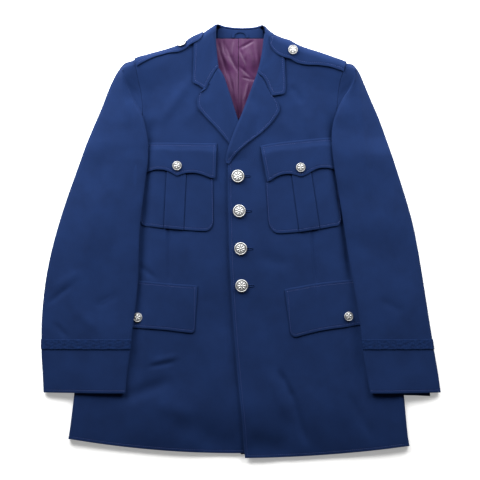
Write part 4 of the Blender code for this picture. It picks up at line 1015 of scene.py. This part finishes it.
POCKET_COLUMNS = {
    RIGHT: (
        # top_out, top_y, foot_out, foot_y, pleat
        (50.6, 160, 50.6, 37, 0), (52.4, 160, 52, 28, 0), (56, 160, 56.5, 21.8, 0),
        (64, 160, 64.5, 18.3, 0), (96, 160, 103, 20.3, 0), (97.6, 160, 104.6, 20.4, -1),
        (98.4, 160, 105.4, 20.5, 1), (116, 160, 123, 22, 1), (133.6, 160, 140.6, 23.6, 1),
        (134.4, 160, 141.4, 23.7, -1), (136, 160, 143, 23.8, 0), (158, 160, 163, 26.4, 0),
        (179, 160, 180.5, 29.5, 0), (184.5, 160, 184.8, 37, 0),
    ),
    LEFT: (
        (43, 160, 51.9, 38.5, 0), (45, 160.4, 54, 27.5, 0), (49, 161, 60, 18.6, 0), (57, 162, 70, 14.2, 0),
        (86.4, 164, 106.6, 16.5, 0), (88, 164, 108.2, 16.6, -1), (88.8, 164, 109, 16.7, 1),
        (106, 165, 127, 19.4, 1), (123.4, 166, 145, 22.3, 1), (124.2, 166, 145.8, 22.4, -1),
        (125.8, 166, 147.4, 22.6, 0), (148, 167, 168, 26.6, 0), (172, 168, 182, 30, 0),
        (179, 168, 186.5, 38, 0),
    ),
}
BREAST_FLAP_COLUMNS = {
    RIGHT: (
        # top_out, top_y, foot_out, foot_y
        (43.6, 179.6, 46.2, 116.2), (48, 179.7, 51.5, 115.2), (56, 179.8, 59, 117.3), (66, 179.9, 68, 121),
        (78, 180, 79, 124.2), (90, 180.2, 90, 125.3), (101, 180.3, 101.5, 124.4),
        (110, 180.4, 110.5, 121.8), (116.6, 180.5, 116.6, 119.7), (123.5, 180.6, 123, 123),
        (132, 180.8, 132, 127.7), (143.5, 181, 143.5, 131), (155, 181.1, 155, 131.3),
        (166, 181.2, 165.5, 129), (177, 181.2, 175, 125.6), (184, 181.2, 182, 122.5),
    ),
    LEFT: (
        (36.5, 175, 49.2, 108.8), (42, 176.3, 55.4, 111.2), (52, 178.2, 65.6, 117.8),
        (63, 180, 76.9, 122.1), (75, 181.8, 89.6, 123.4), (86, 183, 100.9, 121.4), (95, 184, 110.4, 118.6),
        (104, 185, 119.2, 121), (114, 186, 129.2, 126.9), (126, 187.3, 140.5, 132.6),
        (138, 188.5, 151.8, 134.7), (150, 189.6, 163.3, 134.1), (164, 190.6, 174.5, 130.6),
        (176, 191, 181.5, 126.5),
    ),
}
HIP_FLAP_COLUMNS = {
    RIGHT: (
        (79, -82.6, 84.4, -161.5), (81, -82.2, 85.6, -166.6), (86, -81.6, 90, -169.4),
        (104, -80.2, 107, -167.8), (131, -78.2, 132, -164.6), (161, -75.4, 162, -162),
        (192, -72.8, 193, -160.4), (222, -70, 224, -158), (248, -68, 250, -156.4), (270, -66.4, 270, -155),
    ),
    LEFT: (
        (81.2, -89.4, 91.4, -166.5), (83.5, -88.6, 94.4, -173.5), (89, -87.2, 101, -176.8),
        (103, -84.8, 118, -172.6), (124, -80.8, 140, -167.2), (150, -76.8, 164, -162.8),
        (180, -73.6, 192, -159), (210, -70.8, 218, -155), (242, -68.4, 248, -151.6),
        (270, -66.4, 270, -149),
    ),
}


# %% [markdown]
# ## Laying them on the fronts
#
# Each of these lies a fixed height above the front under it, found from the body's formula. So they
# follow every fold below, as cloth sewn down does, and a pocket's box pleat stands up between two fine
# grooves.

# %% Sew straps, pockets and flaps
FLAP_LIFT = 0.8  # a flap's foot stands off a little, over the width of the band
FLAP_BAND = 12.0


def strap_lift(out):
    """The strap lies on the shoulder, and on the collar leaf at its button end."""
    return COVER + STRAP_SLACK + LAYER * (1 - step(out, *LEAF_UNDER_STRAP))


def hanging(side, columns, shares, lift):
    """Fine grid of a piece measured in columns: straight lines from top seam to foot, and the lift."""
    tops = np.stack([side * columns[:, 0], columns[:, 1]], axis=-1)
    feet = np.stack([side * columns[:, 2], columns[:, 3]], axis=-1)
    plan = on_grid(tops, feet, shares)
    return cells(with_height(plan, np.broadcast_to(lift, plan.shape[:2])))


def make_strap(side, name, finish):
    """Rows from the button end to the armhole, turned over the shoulder's rounding."""
    rows = np.array(STRAP_ROWS[side], float)
    shares = np.array((0, 0.14, 0.32, 0.5, 0.68, 0.86, 1))[None, :]
    out = between(rows[:, :1], rows[:, 1:2], shares)
    around = rows[:, 2:3] + rows[:, 3:4] * (1 - 2 * shares)
    place = cells(np.stack([out, around], axis=-1), 0.8 * CELL)
    sheet = round_shoulder(side * place[..., 0], place[..., 1], strap_lift(place[..., 0]))
    return cloth(name, [sheet], TRIM, finish, sewn=("first row", "first column", "last column"))


def make_pocket(side, name, finish):
    """Columns from the pocket's top to its foot: the front's height under them plus one layer. Those of the
    box pleat are lifted, and the one on either side of it is sunk."""
    columns = np.array(POCKET_COLUMNS[side], float)
    place = hanging(side, columns, (0, 0.25, 0.5, 0.72, 0.86, 0.94, 1), columns[:, 4:5])
    z = front_top(side, place[..., 0], place[..., 1]) + TRIM_LAYER + PLEAT_RISE * place[..., 2]
    sheet = with_height(place[..., :2], z)
    return cloth(name, [sheet], TRIM, finish, sewn=("first row", "last row", "last column"))


def make_flap(side, name, finish, columns, over_pocket):
    """A flap from its top seam to its shaped foot: the front's height under it plus its own layers, and where
    there is a pocket a smooth climb on to it. Its foot is lifted in a narrow band."""
    shares = np.array((0, 0.12, 0.28, 0.5, 0.75, 1))
    climb = (TRIM_LAYER + PLEAT_RISE) * step(shares, 0, 0.3) * over_pocket
    place = hanging(side, np.array(columns, float), shares, climb)
    z = front_top(side, place[..., 0], place[..., 1]) + TRIM_LAYER + place[..., 2]
    z += FLAP_LIFT * (1 - step(from_border(place, "last row"), 0, FLAP_BAND))
    return cloth(name, [with_height(place[..., :2], z)], TRIM, finish, sewn=tuple(BORDERS))


for side, word in SIDES:
    make_strap(side, f"cloth_shoulder_strap_{word}", serge)
    make_pocket(side, f"cloth_breast_pocket_{word}", serge)
    make_flap(side, f"cloth_breast_flap_{word}", serge, BREAST_FLAP_COLUMNS[side], True)
    make_flap(side, f"cloth_hip_flap_{word}", serge, HIP_FLAP_COLUMNS[side], False)

# %% [markdown]
# ## Sleeves
#
# A two-piece sleeve is a tube with a seam in front and one behind. Laid down it has an outer fold, a
# rounded top and an inner crease that leans on the front. The rows follow the arm from the shoulder to
# the cuff.

# %% Measures of the sleeves
SLEEVE_OUTER = {
    RIGHT: (
        (-286, 363.4), (-278, 363.8), (-240, 365.6), (-209, 367.2), (-194, 368.4), (-180, 368),
        (-146, 366.8), (-93, 362.5), (-23, 350), (46, 331), (129, 302.4), (192, 279), (249, 254.7),
        (287, 239.7), (312, 226.5), (326, 215.5), (335, 201),
    ),
    LEFT: (
        (-286, 370), (-280, 369.7), (-238, 363.8), (-209, 358.6), (-194, 356.6), (-180, 354), (-146, 348.6),
        (-99, 341), (-23, 328.8), (40, 316), (104, 297), (161, 278), (224, 255.9), (268, 237), (302, 222.3),
        (317, 214.5), (331, 200),
    ),
}
CREASE_OUT = {
    RIGHT: (
        (-286, 212.2), (-252, 209.9), (-209, 204.1), (-178, 201.4), (-160, 198.6), (-75, 189.2), (17, 186),
        (112, 174.9), (150, 170.1), (182, 170.1), (206, 174), (233, 181.2), (254, 193.4), (277, 205.1),
        (312, 216.2),
    ),
    LEFT: (
        (-286, 239.8), (-252, 233.6), (-209, 226.5), (-146, 219.3), (-109, 213.6), (-65, 205.6),
        (-11, 196.2), (52, 186.6), (100, 178.4), (147, 170.8), (189, 167.3), (220, 170.8), (240, 177.3),
        (255, 183.4), (277, 199.3), (307, 211.7),
    ),
}
SLEEVE_ROWS = (
    # outer_y, crease_y, end_y, outer_z, brink (above the front), arch (height of the rounded top)
    (326, 314, 298, 12.8, 0.2, 1.0), (314, 305, 283, 11.6, 0.6, 3.0), (293, 283, 262, 10.2, 1.4, 5.0),
    (268, 263, 247, 9.2, 2.4, 6.2), (256, 246, 240, 8.6, 3.2, 6.6), (241, 233, 233, 8.2, 4.2, 6.8),
    (225, 219, 219, 7.8, 5.6, 6.8), (209, 205, 205.5, 7.4, 7.0, 6.6), (193, 191, 191, 7.2, 8.4, 6.4),
    (179, 178, 178, 7.0, 9.2, 6.2), (167, 166, 166, 7.0, 9.6, 6.0), (158, 157.4, 157.4, 7.0, 9.7, 6.0),
    (150, 150, ARMPIT_Y, 7.0, 9.8, 6.0), (141, 141, 142, 7.0, 9.8, 6.0), (118, 118, 118, 7.0, 9.7, 6.0),
    (78, 78, 78, 7.0, 9.4, 6.0), (30, 30, 30, 7.0, 8.8, 6.0), (-20, -20, -20, 6.8, 8.0, 5.8),
    (-70, -70, -70, 6.6, 7.6, 5.6), (-120, -120, -120, 6.4, 7.2, 5.4), (-165, -165, -165, 6.2, 6.6, 5.2),
    (-205, -205, -205, 6.0, 6.0, 5.0), (-245, -245, -245, 5.8, 5.6, 4.8),
    (-279.5, -280.5, -280, 5.6, 5.4, 4.6),
)
TAIL_WIDTH = ((-286, 34), (-150, 36), (30, 42), (78, 58), (118, 74), (142, 88))  # inner crease to fore seam
FORE_SEAM_Y = 143.0  # below this the tail ends on the fore seam, above it on the armhole
HIND_SEAM_IN = 18.0  # outer fold to hind seam, on the underside
HIND_SHARE = (0.35, 0.6, 0.72)  # the same seam near the shoulder, as a share of the way out from the armhole
HIND_GAP = 0.8
GUSSET_STEP = 0.3  # at the armpit the underside climbs on to the body over this short run
FOLD_BOTTOM = 8.0
ARCH_SHARES = (0.0, 0.03, 0.09, 0.2, 0.35, 0.5, 0.65, 0.8, 0.91, 0.97, 1.0)
RAMP = 28.0  # run over which the under sleeve climbs on to the body
CUFF_SLIP = {RIGHT: 0.0, LEFT: 7.0}  # how far the under sleeve's hem slips past the top one
BRAID_Y = (-181.0, -199.5)  # the band's upper and lower edge
print("rows along a sleeve:", len(SLEEVE_ROWS))


# %% [markdown]
# ## Under the sleeve
#
# The sleeve lies on pockets and flaps, then slopes down to the floor beside the body. Its height there is
# worked out from what is under it, with a soft step, because stiff cloth bridges a hard one.

# %% Heights below a sleeve
HEAD_TOP_Y = 321
HEAD_FADE = (200, 214)  # the under sleeve leaves the back's surface between these distances out
FOLD_CLIMB = 0.7  # share of the body's height by which the outer fold is lifted beside it
FOLD_CLIMB_RUN = 50


def box_step(x, y, low, high, fade=12.0):
    """1 inside the plan box and 0 beyond the fade around it."""
    across = step(x, low[0] - fade, low[0]) * (1 - step(x, high[0], high[0] + fade))
    return across * step(y, low[1] - fade, low[1]) * (1 - step(y, high[1], high[1] + fade))


def cover_height(x, y):
    """How much pockets and flaps add to the front where a sleeve lies on it."""
    out = np.abs(x)
    breast = (2 * TRIM_LAYER + PLEAT_RISE) * box_step(out, y, (40, 16), (192, 192))
    hip = TRIM_LAYER * box_step(out, y, (70, -180), (284, -64))
    return breast + hip


def sleeve_rows(side):
    """Plan places of every row of a sleeve below the shoulder: outer fold, crease and the end of the tail."""
    rows = np.array(SLEEVE_ROWS, float)
    outer = np.stack([side * curve(SLEEVE_OUTER[side], rows[:, 0]), rows[:, 0]], axis=-1)
    crease = np.stack([side * curve(CREASE_OUT[side], rows[:, 1]), rows[:, 1]], axis=-1)
    end_y = rows[:, 2]
    on_armhole = curve(ARMHOLE_OUT[side], end_y) + SEAM
    on_fore_seam = np.abs(crease[:, 0]) + curve(TAIL_WIDTH, end_y)
    end = np.stack([side * np.where(end_y > FORE_SEAM_Y, on_armhole, on_fore_seam), end_y], axis=-1)
    return rows, outer, crease, end


def arch_shape(share):
    """Rounded rise and fall of the sleeve's top between its two folds: half an oval, a little squared."""
    return np.sqrt(1 - np.abs(2 * share - 1) ** 2.4)


def under_height(side, x, y, below_armpit):
    """Outer face of the sleeve's underside: the surface, climbing on to the body below the armpit."""
    outside = side * np.asarray(x, float) - side_out(x, y)
    on_body = body_top(x, y, rounded=False) + cover_height(x, y) + SEAM + CLEAR
    climb = on_body * (1 - step(outside, 0.6, RAMP))
    head = back_lift(x, np.minimum(y, HEAD_TOP_Y)) * (1 - step(side * np.asarray(x, float), *HEAD_FADE))
    return np.where(below_armpit, climb, head)


def fold_climb(side, outer):
    """Where the outer fold lies close to the body's side, the sleeve climbs and lifts the fold with it."""
    on_body = under_height(side, outer[0], min(outer[1], FORE_SEAM_Y), True)
    return FOLD_CLIMB * on_body * (1 - step(outer[1], ARMPIT_Y, ARMPIT_Y + FOLD_CLIMB_RUN))


def hind_place(outer, end, index):
    """Plan place of the hind seam in a row, on the underside."""
    if index < len(HIND_SHARE):
        return between(end, outer, HIND_SHARE[index])
    inward = end - outer
    return outer + inward * min(HIND_SEAM_IN / np.linalg.norm(inward), 0.42)


# %% [markdown]
# ## One row of a sleeve, and the top sleeve
#
# Every row starts at the hind seam underneath, turns round the outer fold, rises over the top and runs
# down to the fore seam. A cylinder squashed flat would do for a plain tube, but not for a sleeve head
# that is eased into a curved armhole.

# %% Sew the top sleeves
def sleeve_section(side, values, outer, crease, end, hind, below_armpit):
    """One row of the top sleeve.

    It rises from the hind seam round part of a circle to the outer fold, goes over the top on a straight line
    between the folds with half an oval added, and falls from the crease to the end of the tail: steeply where
    the tail folds under, in an easy slope where it lies open towards the armhole.
    """
    _, _, _, outer_z, brink, arch = values
    outer_z = outer_z + fold_climb(side, outer)
    inward = (hind - outer) / np.linalg.norm(hind - outer)
    turn = np.radians((75, 45, 20))[:, None]
    under = outer + inward * np.minimum(FOLD_BOTTOM, 0.45 * np.linalg.norm(hind - outer)) * (1 - np.cos(turn))
    under = np.concatenate([hind[None], under])
    floor_z = under_height(side, under[:, 0], under[:, 1], below_armpit)
    sine = np.array((1.0, *np.sin(turn[:, 0])))
    under_z = floor_z + np.maximum(outer_z - floor_z, 0) * (1 - sine)
    crease_z = front_top(side, *crease) + brink
    shares = np.array(ARCH_SHARES)
    top = between(outer, crease, shares[:, None])
    top_z = between(outer_z, crease_z, shares) + arch * arch_shape(shares)
    tail = end - crease
    length = np.linalg.norm(tail)
    folded = float(step(side * (end[0] - crease[0]), -4, 5))
    near = np.array((min(1.3, 0.2 * length), min(4.5, 0.4 * length)))
    run = np.concatenate([near, between(near[1], length, np.array((0.2, 0.6, 1)))])
    tail_plan = crease + tail * (run / max(length, 1e-6))[:, None]
    rest = front_top(side, tail_plan[:, 0], tail_plan[:, 1])
    rest = rest + folded * (SEAM + CLEAR + cover_height(tail_plan[:, 0], tail_plan[:, 1]))
    open_fall = np.array((0.55, 0.12, 0.02, 0, 0))
    upright_fall = np.array((0.8, 0.6, 0.4, 0.2, 0))
    fall = between(upright_fall, open_fall, step(length, 1, 8))
    tail_z = rest + np.maximum(crease_z - rest, 0) * fall
    plan = np.concatenate([under, top, tail_plan])
    z = np.concatenate([under_z, top_z, tail_z])
    return with_height(plan, z)


def sleeve_head_row(side):
    """First row of the sleeve: the armhole seam as it passes over the shoulder's outline."""
    reach = STATION_AROUND[-1]
    under = np.array((-1.0, -0.65, -0.35, -0.12)) * reach
    top = np.array(ARCH_SHARES) * 0.6 * reach
    tail = between(0.6 * reach, reach, np.array((0.1, 0.25, 0.5, 0.75, 1)))
    around = np.concatenate([under, top, tail])
    out = np.interp(np.abs(around), (0, reach), curve(ARMHOLE_OUT[side], ARMHOLE_TOP_Y)) + SEAM
    return round_shoulder(side * out, around, 0)


LID = np.concatenate([np.zeros(4), arch_shape(np.array(ARCH_SHARES)), np.zeros(5)])  # 1 on top of the sleeve


def top_sleeve_grid(side):
    """Rows from the shoulder to the armpit and on to the cuff, made fine each for itself and then joined."""
    rows, outer, crease, end = sleeve_rows(side)
    split = int(np.argmax(rows[:, 2] == ARMPIT_Y))
    halves = []
    for low, first, last in ((False, 0, split + 1), (True, split, len(rows))):
        grid = [
            sleeve_section(side, rows[i], outer[i], crease[i], end[i], hind_place(outer[i], end[i], i), low)
            for i in range(first, last)
        ]
        if low:
            grid[0] = grid[0] - np.array((0, GUSSET_STEP, 0))
        else:
            grid.insert(0, sleeve_head_row(side))
        grid = np.array(grid)
        lid = np.broadcast_to(LID, grid.shape[:2])[..., None]
        halves.append(fine(np.concatenate([grid, lid], axis=-1), CELL))
    grid = fine(np.concatenate(halves), CELL, axis=1)
    x, y, _, lid = np.moveaxis(grid, -1, 0)
    grid[..., 2] += lid * (folds(x, y, SLEEVE_FOLDS) + unevenness(y, x))
    return grid[..., :3]


for side, word in SIDES:
    cloth(f"cloth_sleeve_top_{word}", [top_sleeve_grid(side)], CLOTH, serge, sewn=("last row",))


# %% [markdown]
# ## Under sleeves and braid
#
# The under sleeve closes the tube below and never shows but at the cuff, where one slips past the top
# sleeve. The braid is a woven band on the cuff. It takes the sleeve's own points and moves them out, ribs
# and plait with them, so it cannot sink in anywhere.

# %% Sew the under sleeves and the braid
def make_under_sleeve(side, name, finish):
    """From the hind seam to the back's armhole or, below the armpit, over the body to the fore seam."""
    rows, outer, crease, end = sleeve_rows(side)
    split = int(np.argmax(rows[:, 2] == ARMPIT_Y))
    shares = np.array((0, 0.33, 0.66, 1))
    halves = []
    for low, first, last in ((False, 0, split + 1), (True, split, len(rows))):
        grid = []
        for i in range(first, last):
            hind = hind_place(outer[i], end[i], i)
            inward = (end[i] - hind) / np.linalg.norm(end[i] - hind)
            near_armpit = 1 - step(abs(rows[i, 2] - ARMPIT_Y), 4, 12)
            start = hind + inward * HIND_GAP * (1 + 1.8 * near_armpit)
            stop = end[i] - inward * SEAM * (1 + 1.2 * near_armpit)
            to_side = abs(start[0]) - float(side_out(side, start[1])) - 0.6
            middle = between(start, stop, np.clip(to_side / abs(stop[0] - start[0]), 0.3, 0.8))
            outside, inside = between(start, middle, shares[:, None]), between(middle, stop, shares[1:, None])
            plan = np.concatenate([outside, inside])
            if i == len(rows) - 1:
                plan[:, 1] -= CUFF_SLIP[side] * np.array((1, 0.9, 0.75, 0.6, 0.3, 0, 0))
            if low and i == first:
                plan[:, 1] -= GUSSET_STEP
            grid.append(plan)
        plan = fine(np.array(grid), 1.5 * CELL)
        halves.append(np.concatenate([plan, np.full((*plan.shape[:2], 1), low)], axis=-1))
    plan = fine(np.concatenate(halves), 1.5 * CELL, axis=1)
    grid = with_height(plan[..., :2], under_height(side, plan[..., 0], plan[..., 1], plan[..., 2] > 0.5))
    return cloth(name, [grid], CLOTH, finish, faces_up=False)


def make_braid(side, name, finish):
    """A ribbed band round the cuff: the sleeve's own rows there, moved out of it."""
    grid = top_sleeve_grid(side)
    columns = np.linspace(0.13, 0.83, 140) * (grid.shape[1] - 1)
    levels = np.linspace(BRAID_Y[0], BRAID_Y[-1], 15)
    band = []
    for column in columns:
        low = int(column)
        line = between(grid[:, low], grid[:, low + 1], column - low)
        band.append(np.stack([np.interp(-levels, -line[:, 1], line[:, k]) for k in range(3)], axis=-1))
    band = np.array(band).transpose(1, 0, 2)
    run = np.gradient(band, axis=1)
    normal = side * np.stack([run[..., 2], np.zeros(run.shape[:2]), -run[..., 0]], axis=-1)
    normal /= np.linalg.norm(normal, axis=-1, keepdims=True)
    ribs = 0.16 * np.sin(np.arange(len(columns)) * math.pi / 1.5)[None, :] * np.ones((len(levels), 1))
    waver = np.sin(columns / 1.3 + np.sin(columns * 2.9))[None, :]
    plait = 0.13 * np.sin(levels[:, None] / 1.1 + 2.5 * waver)
    lift = 0.7 * BRAID + SEAM + ribs + plait
    return cloth(name, [band + normal * lift[..., None]], BRAID, finish)


for side, word in SIDES:
    make_under_sleeve(side, f"cloth_sleeve_under_{word}", serge)
    make_braid(side, f"cloth_sleeve_braid_{word}", braid)

# %% [markdown]
# ## Buttons
#
# Ten metal buttons with a foot are struck from thin brass. The crest on them is left out for a rosette of
# eight petals, or five on the small ones, in a rope ring. A profile turned round gives the form, and the
# relief is added to it as a height, because it is too shallow and too regular to model petal by petal.

# %% Struck buttons
FRONT_BUTTONS = ((-4.9, 119.3), (-2.3, 55.3), (0.3, -13.9), (2.1, -82.3))
FLAP_BUTTONS = {
    "flap_button_breast_right": (RIGHT, -116.6, 138.4),
    "flap_button_breast_left": (LEFT, 110.4, 135.2),
    "flap_button_hip_right": (RIGHT, -189.6, -141.0),
    "flap_button_hip_left": (LEFT, 198.6, -138.9),
}
STRAP_BUTTONS = {"strap_button_right": (RIGHT, 107.6, 10.0), "strap_button_left": (LEFT, 96.1, 27.0)}
LARGE_BUTTON = 11.45  # radius: a 36-line button
SMALL_BUTTON = 8.3
PETALS = {LARGE_BUTTON: 8, SMALL_BUTTON: 5}  # a small button has room for fewer
DEEPEST = 0.045  # depth of relief, as a share of the radius, at which the film is full
FACE_FROM = 0.24  # height above which a point belongs to the face
FILM = {LARGE_BUTTON: 0.35, SMALL_BUTTON: 0.42}  # how much dull film lies on the flat of the face


def struck_relief(share, turn, radius):
    """Height of rosette, eye and rope ring: waves round the button, each on a bell along the radius."""
    petals = 0.04 * np.cos(PETALS[radius] * turn) * np.exp(-(((share - 0.42) / 0.17) ** 2))
    eye = 0.03 * np.exp(-((share / 0.13) ** 2)) - 0.02 * np.exp(-(((share - 0.2) / 0.05) ** 2))
    return petals + eye + 0.022 * np.sin(30 * turn) * np.exp(-(((share - 0.93) / 0.04) ** 2))


def button_points(radius):
    """A profile turned round: foot, back of the disc, rim, then a dome with a rope ring and a rosette."""
    rise = np.linspace(1, 0, 26)
    ring = np.exp(-(((rise - 0.93) / 0.045) ** 2)) - np.exp(-(((rise - 0.8) / 0.05) ** 2))
    face = 0.42 - 0.11 * rise**2 + 0.05 * ring
    share = np.concatenate([(0.001, 0.28, 0.28, 0.5, 0.95, 1.0, 1.02, 1.01), rise])
    height = np.concatenate([(0, 0, 0.15, 0.17, 0.2, 0.22, 0.26, 0.3), face])
    turn = np.linspace(0, 2 * math.pi, 65)[None, :]
    share, height = share[:, None], height[:, None]
    on_face = np.arange(len(share))[:, None] >= 8
    height = height + on_face * struck_relief(share, turn, radius)
    along = height * np.ones_like(turn)
    return radius * np.stack([share * np.cos(turn), share * np.sin(turn), along], axis=-1)


def make_button(name, radius, foot, normal):
    points = button_points(radius)
    turned = mathutils.Vector(normal).to_track_quat("Z", "Y").to_matrix()
    points = points @ np.array(turned).T + np.array(foot)
    mesh, _ = sheet_mesh(f"struck_{name}", [points], faces_up=True)
    face_outwards(mesh)
    places = np.empty(3 * len(mesh.vertices))
    mesh.vertices.foreach_get("co", places)
    local = (places.reshape(-1, 3) / MM - np.array(foot)) @ np.array(turned) / radius
    share = np.hypot(local[:, 0], local[:, 1])
    ring = np.exp(-(((share - 0.79) / 0.06) ** 2))
    relief = struck_relief(share, np.arctan2(local[:, 1], local[:, 0]), radius)
    recess = np.clip(FILM[radius] - relief / DEEPEST + ring, 0, 1)
    recess = recess * (local[:, 2] > FACE_FROM)
    mesh.attributes.new("recess", "FLOAT", "POINT").data.foreach_set("value", recess)
    mesh.shade_smooth()
    made = placed(f"struck_{name}", mesh)
    mesh.materials.append(nickel)
    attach(made, "root")
    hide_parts(name)


def button_on_front(name, radius, side, x, y, lift):
    """Level with the slope of the cloth under its whole foot."""
    spread = 0.5 * radius
    slope_x = (front_top(side, x + spread, y) - front_top(side, x - spread, y)) / (2 * spread)
    slope_y = (front_top(side, x, y + spread) - front_top(side, x, y - spread)) / (2 * spread)
    foot = (x, y, float(front_top(side, x, y)) + lift + CLEAR)
    make_button(name, radius, foot, (-float(slope_x), -float(slope_y), 1))


for number, (x, y) in enumerate(FRONT_BUTTONS, 1):
    button_on_front(f"front_button_{number}", LARGE_BUTTON, LEFT, x, y, 0)
for name, (side, x, y) in FLAP_BUTTONS.items():
    pocket = TRIM_LAYER + PLEAT_RISE if "breast" in name else 0
    button_on_front(name, SMALL_BUTTON, side, x, y, TRIM_LAYER + pocket)
for name, (side, out, around) in STRAP_BUTTONS.items():
    lift = float(strap_lift(out)) + 2 * CLEAR
    foot = round_shoulder(side * out, around, lift)
    along = round_shoulder(side * out + 1, around, lift) - round_shoulder(side * out - 1, around, lift)
    down = round_shoulder(side * out, around + 1, lift) - round_shoulder(side * out, around - 1, lift)
    make_button(name, SMALL_BUTTON, foot, np.cross(down, along))
print("buttons:", len(FRONT_BUTTONS) + len(FLAP_BUTTONS) + len(STRAP_BUTTONS))

# %% [markdown]
# ## Edge stitching
#
# Collar, edges, flaps and hems are stitched once round, 5 mm in. The lines were kept when the pieces were
# made. A bump alone would vanish close by, so every stitch is a spindle of thread that just shows above
# the cloth.

# %% Stitching
STITCH = 2.6  # length of a stitch that shows
PITCH = 3.6  # real stitches come every 2.5 mm, too fine to show here
THREAD = 0.34  # half its thickness
RING = 5  # rings along a stitch, and points round each ring


def stitches(lines):
    """Short spindles of thread along each line: rings that are widest in the middle of the stitch."""
    middles, runs = [], []
    for line in lines:
        length = np.append(0, np.cumsum(np.linalg.norm(np.diff(line, axis=0), axis=1)))
        at = np.arange(INSET, length[-1] - INSET, PITCH)
        start, end = (
            np.stack([np.interp(at + off, length, line[:, k]) for k in range(3)], axis=-1)
            for off in (-STITCH / 2, STITCH / 2)
        )
        middles.append((start + end) / 2)
        runs.append(end - start)
    middle, run = np.concatenate(middles), np.concatenate(runs)
    side = np.cross(run, (0, 0, 1.0))
    side /= np.maximum(np.linalg.norm(side, axis=1, keepdims=True), 1e-6)
    up = np.cross(side, run / np.linalg.norm(run, axis=1, keepdims=True))
    along = np.array((-0.5, -0.3, 0, 0.3, 0.5))[None, :, None, None]
    thick = np.array((0.05, 0.8, 1, 0.8, 0.05))[None, :, None, None] * THREAD
    turn = np.radians(np.arange(0, 360, 360 // RING))[None, None, :, None]
    spread = thick * (np.cos(turn) * side[:, None, None] + np.sin(turn) * up[:, None, None])
    points = middle[:, None, None] + along * run[:, None, None] + spread + 0.12 * up[:, None, None]
    index = np.arange(len(middle) * RING**2).reshape(-1, RING, RING)
    after = np.roll(index, -1, axis=2)
    faces = np.stack([index[:, :-1], after[:, :-1], after[:, 1:], index[:, 1:]], axis=-1).reshape(-1, 4)
    caps = np.concatenate([index[:, 0, ::-1], index[:, -1]])
    return points.reshape(-1, 3), faces.tolist() + caps.tolist()


def small_work(name, points, faces, finish):
    """Thread and cord sewn to the cloth, as one closed mesh."""
    mesh = bpy.data.meshes.new(name)
    mesh.from_pydata(points * MM, [], faces)
    face_outwards(mesh)
    mesh.shade_smooth()
    mesh.materials.append(finish)
    made = placed(name, mesh)
    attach(made, "root")
    print(f"{name}: {len(points)} points")


small_work("edge_stitching", *stitches(sewn_lines), thread)

# %% [markdown]
# ## Buttonholes
#
# Each is cut across the front and bound with close stitches, and only its outer end shows beside the
# button. A cord of uneven thickness carried round the slit looks like the row of knots.

# %% Buttonholes
HOLE_LENGTH = 25.0
HOLE_WIDTH = 3.4
HOLE_OUT = 9.4  # from the button's middle to the hole's, so that one end shows beside the button


def buttonholes():
    """Each is a long ring of buttonhole stitch: a round cord carried along a stadium on the cloth."""
    turn = np.linspace(0, 2 * math.pi, 73)[:-1]
    along = np.clip(1.6 * np.cos(turn), -1, 1)
    ring = np.stack([along * HOLE_LENGTH / 2, np.sin(turn) * HOLE_WIDTH / 2], axis=-1)
    around = np.radians(np.arange(0, 360, 45))
    points, faces = [], []
    for number, (x, y) in enumerate(FRONT_BUTTONS):
        middle = ring + (x + HOLE_OUT, y)
        out = ring * (0.12, 1)
        out /= np.linalg.norm(out, axis=1, keepdims=True)
        thick = 0.8 + 0.18 * np.cos(np.arange(len(turn)) * math.pi)[:, None]
        plan = middle[:, None] + out[:, None] * (thick * np.cos(around))[..., None]
        z = front_top(LEFT, middle[:, 0], middle[:, 1])[:, None] + thick * (0.2 + np.sin(around))
        index = np.arange(len(turn) * 8).reshape(-1, 8) + number * len(turn) * 8
        after, up = np.roll(index, -1, axis=0), np.roll(index, -1, axis=1)
        faces.append(np.stack([index, after, np.roll(after, -1, axis=1), up], axis=-1).reshape(-1, 4))
        points.append(with_height(plan, z).reshape(-1, 3))
    return np.concatenate(points), np.concatenate(faces).tolist()


small_work("buttonhole_stitching", *buttonholes(), braid)

# %% [markdown]
# ## Floor, light and camera
#
# The coat was photographed from straight above on white, in soft light from its collar's side. Two large
# lamps do that, one each side with one a little stronger, and their low angle brings out the folds.

# %% Floor, light and camera
FLOOR_Z = -0.0003
LENS = 120  # a long lens from straight above, as in the photograph
SENSOR = 36
VIEW_WIDTH = 0.888  # how much of the floor the picture takes in, in metres
AMBIENT = 0.08
LAMP_Z = 0.62  # low lamps on the collar's side, aimed across the coat
floor = placed("floor", bpy.data.meshes.new("floor"))
corners = [(x, y, FLOOR_Z) for x, y in ((-4, -4), (4, -4), (4, 4), (-4, 4))]
floor.data.from_pydata(corners, [], [(0, 1, 2, 3)])
floor.data.materials.append(paper)

for word, across, energy in (("left", -0.7, 57), ("right", 0.75, 42)):
    light = bpy.data.lights.new(f"window_{word}", "AREA")
    light.shape = "RECTANGLE"
    light.size = 1.1
    light.size_y = 0.9
    light.energy = energy
    lamp = placed(f"window_{word}", light)
    lamp.location = (across, 1.0, LAMP_Z)
    lamp.rotation_euler = mathutils.Vector((-across, -1.05, -LAMP_Z)).to_track_quat("-Z", "Y").to_euler()
world = bpy.data.worlds.new("studio")
world.use_nodes = True
world.node_tree.nodes["Background"].inputs[0].default_value = (1, 1, 1, 1)
world.node_tree.nodes["Background"].inputs[1].default_value = AMBIENT
bpy.context.scene.world = world
bpy.context.scene.view_settings.view_transform = "Standard"

camera = bpy.data.cameras.new("camera")
camera.lens = LENS
camera.sensor_width = SENSOR
view = placed("camera", camera)
view.location = (-0.001, 0.002, VIEW_WIDTH * LENS / SENSOR)
bpy.context.scene.camera = view
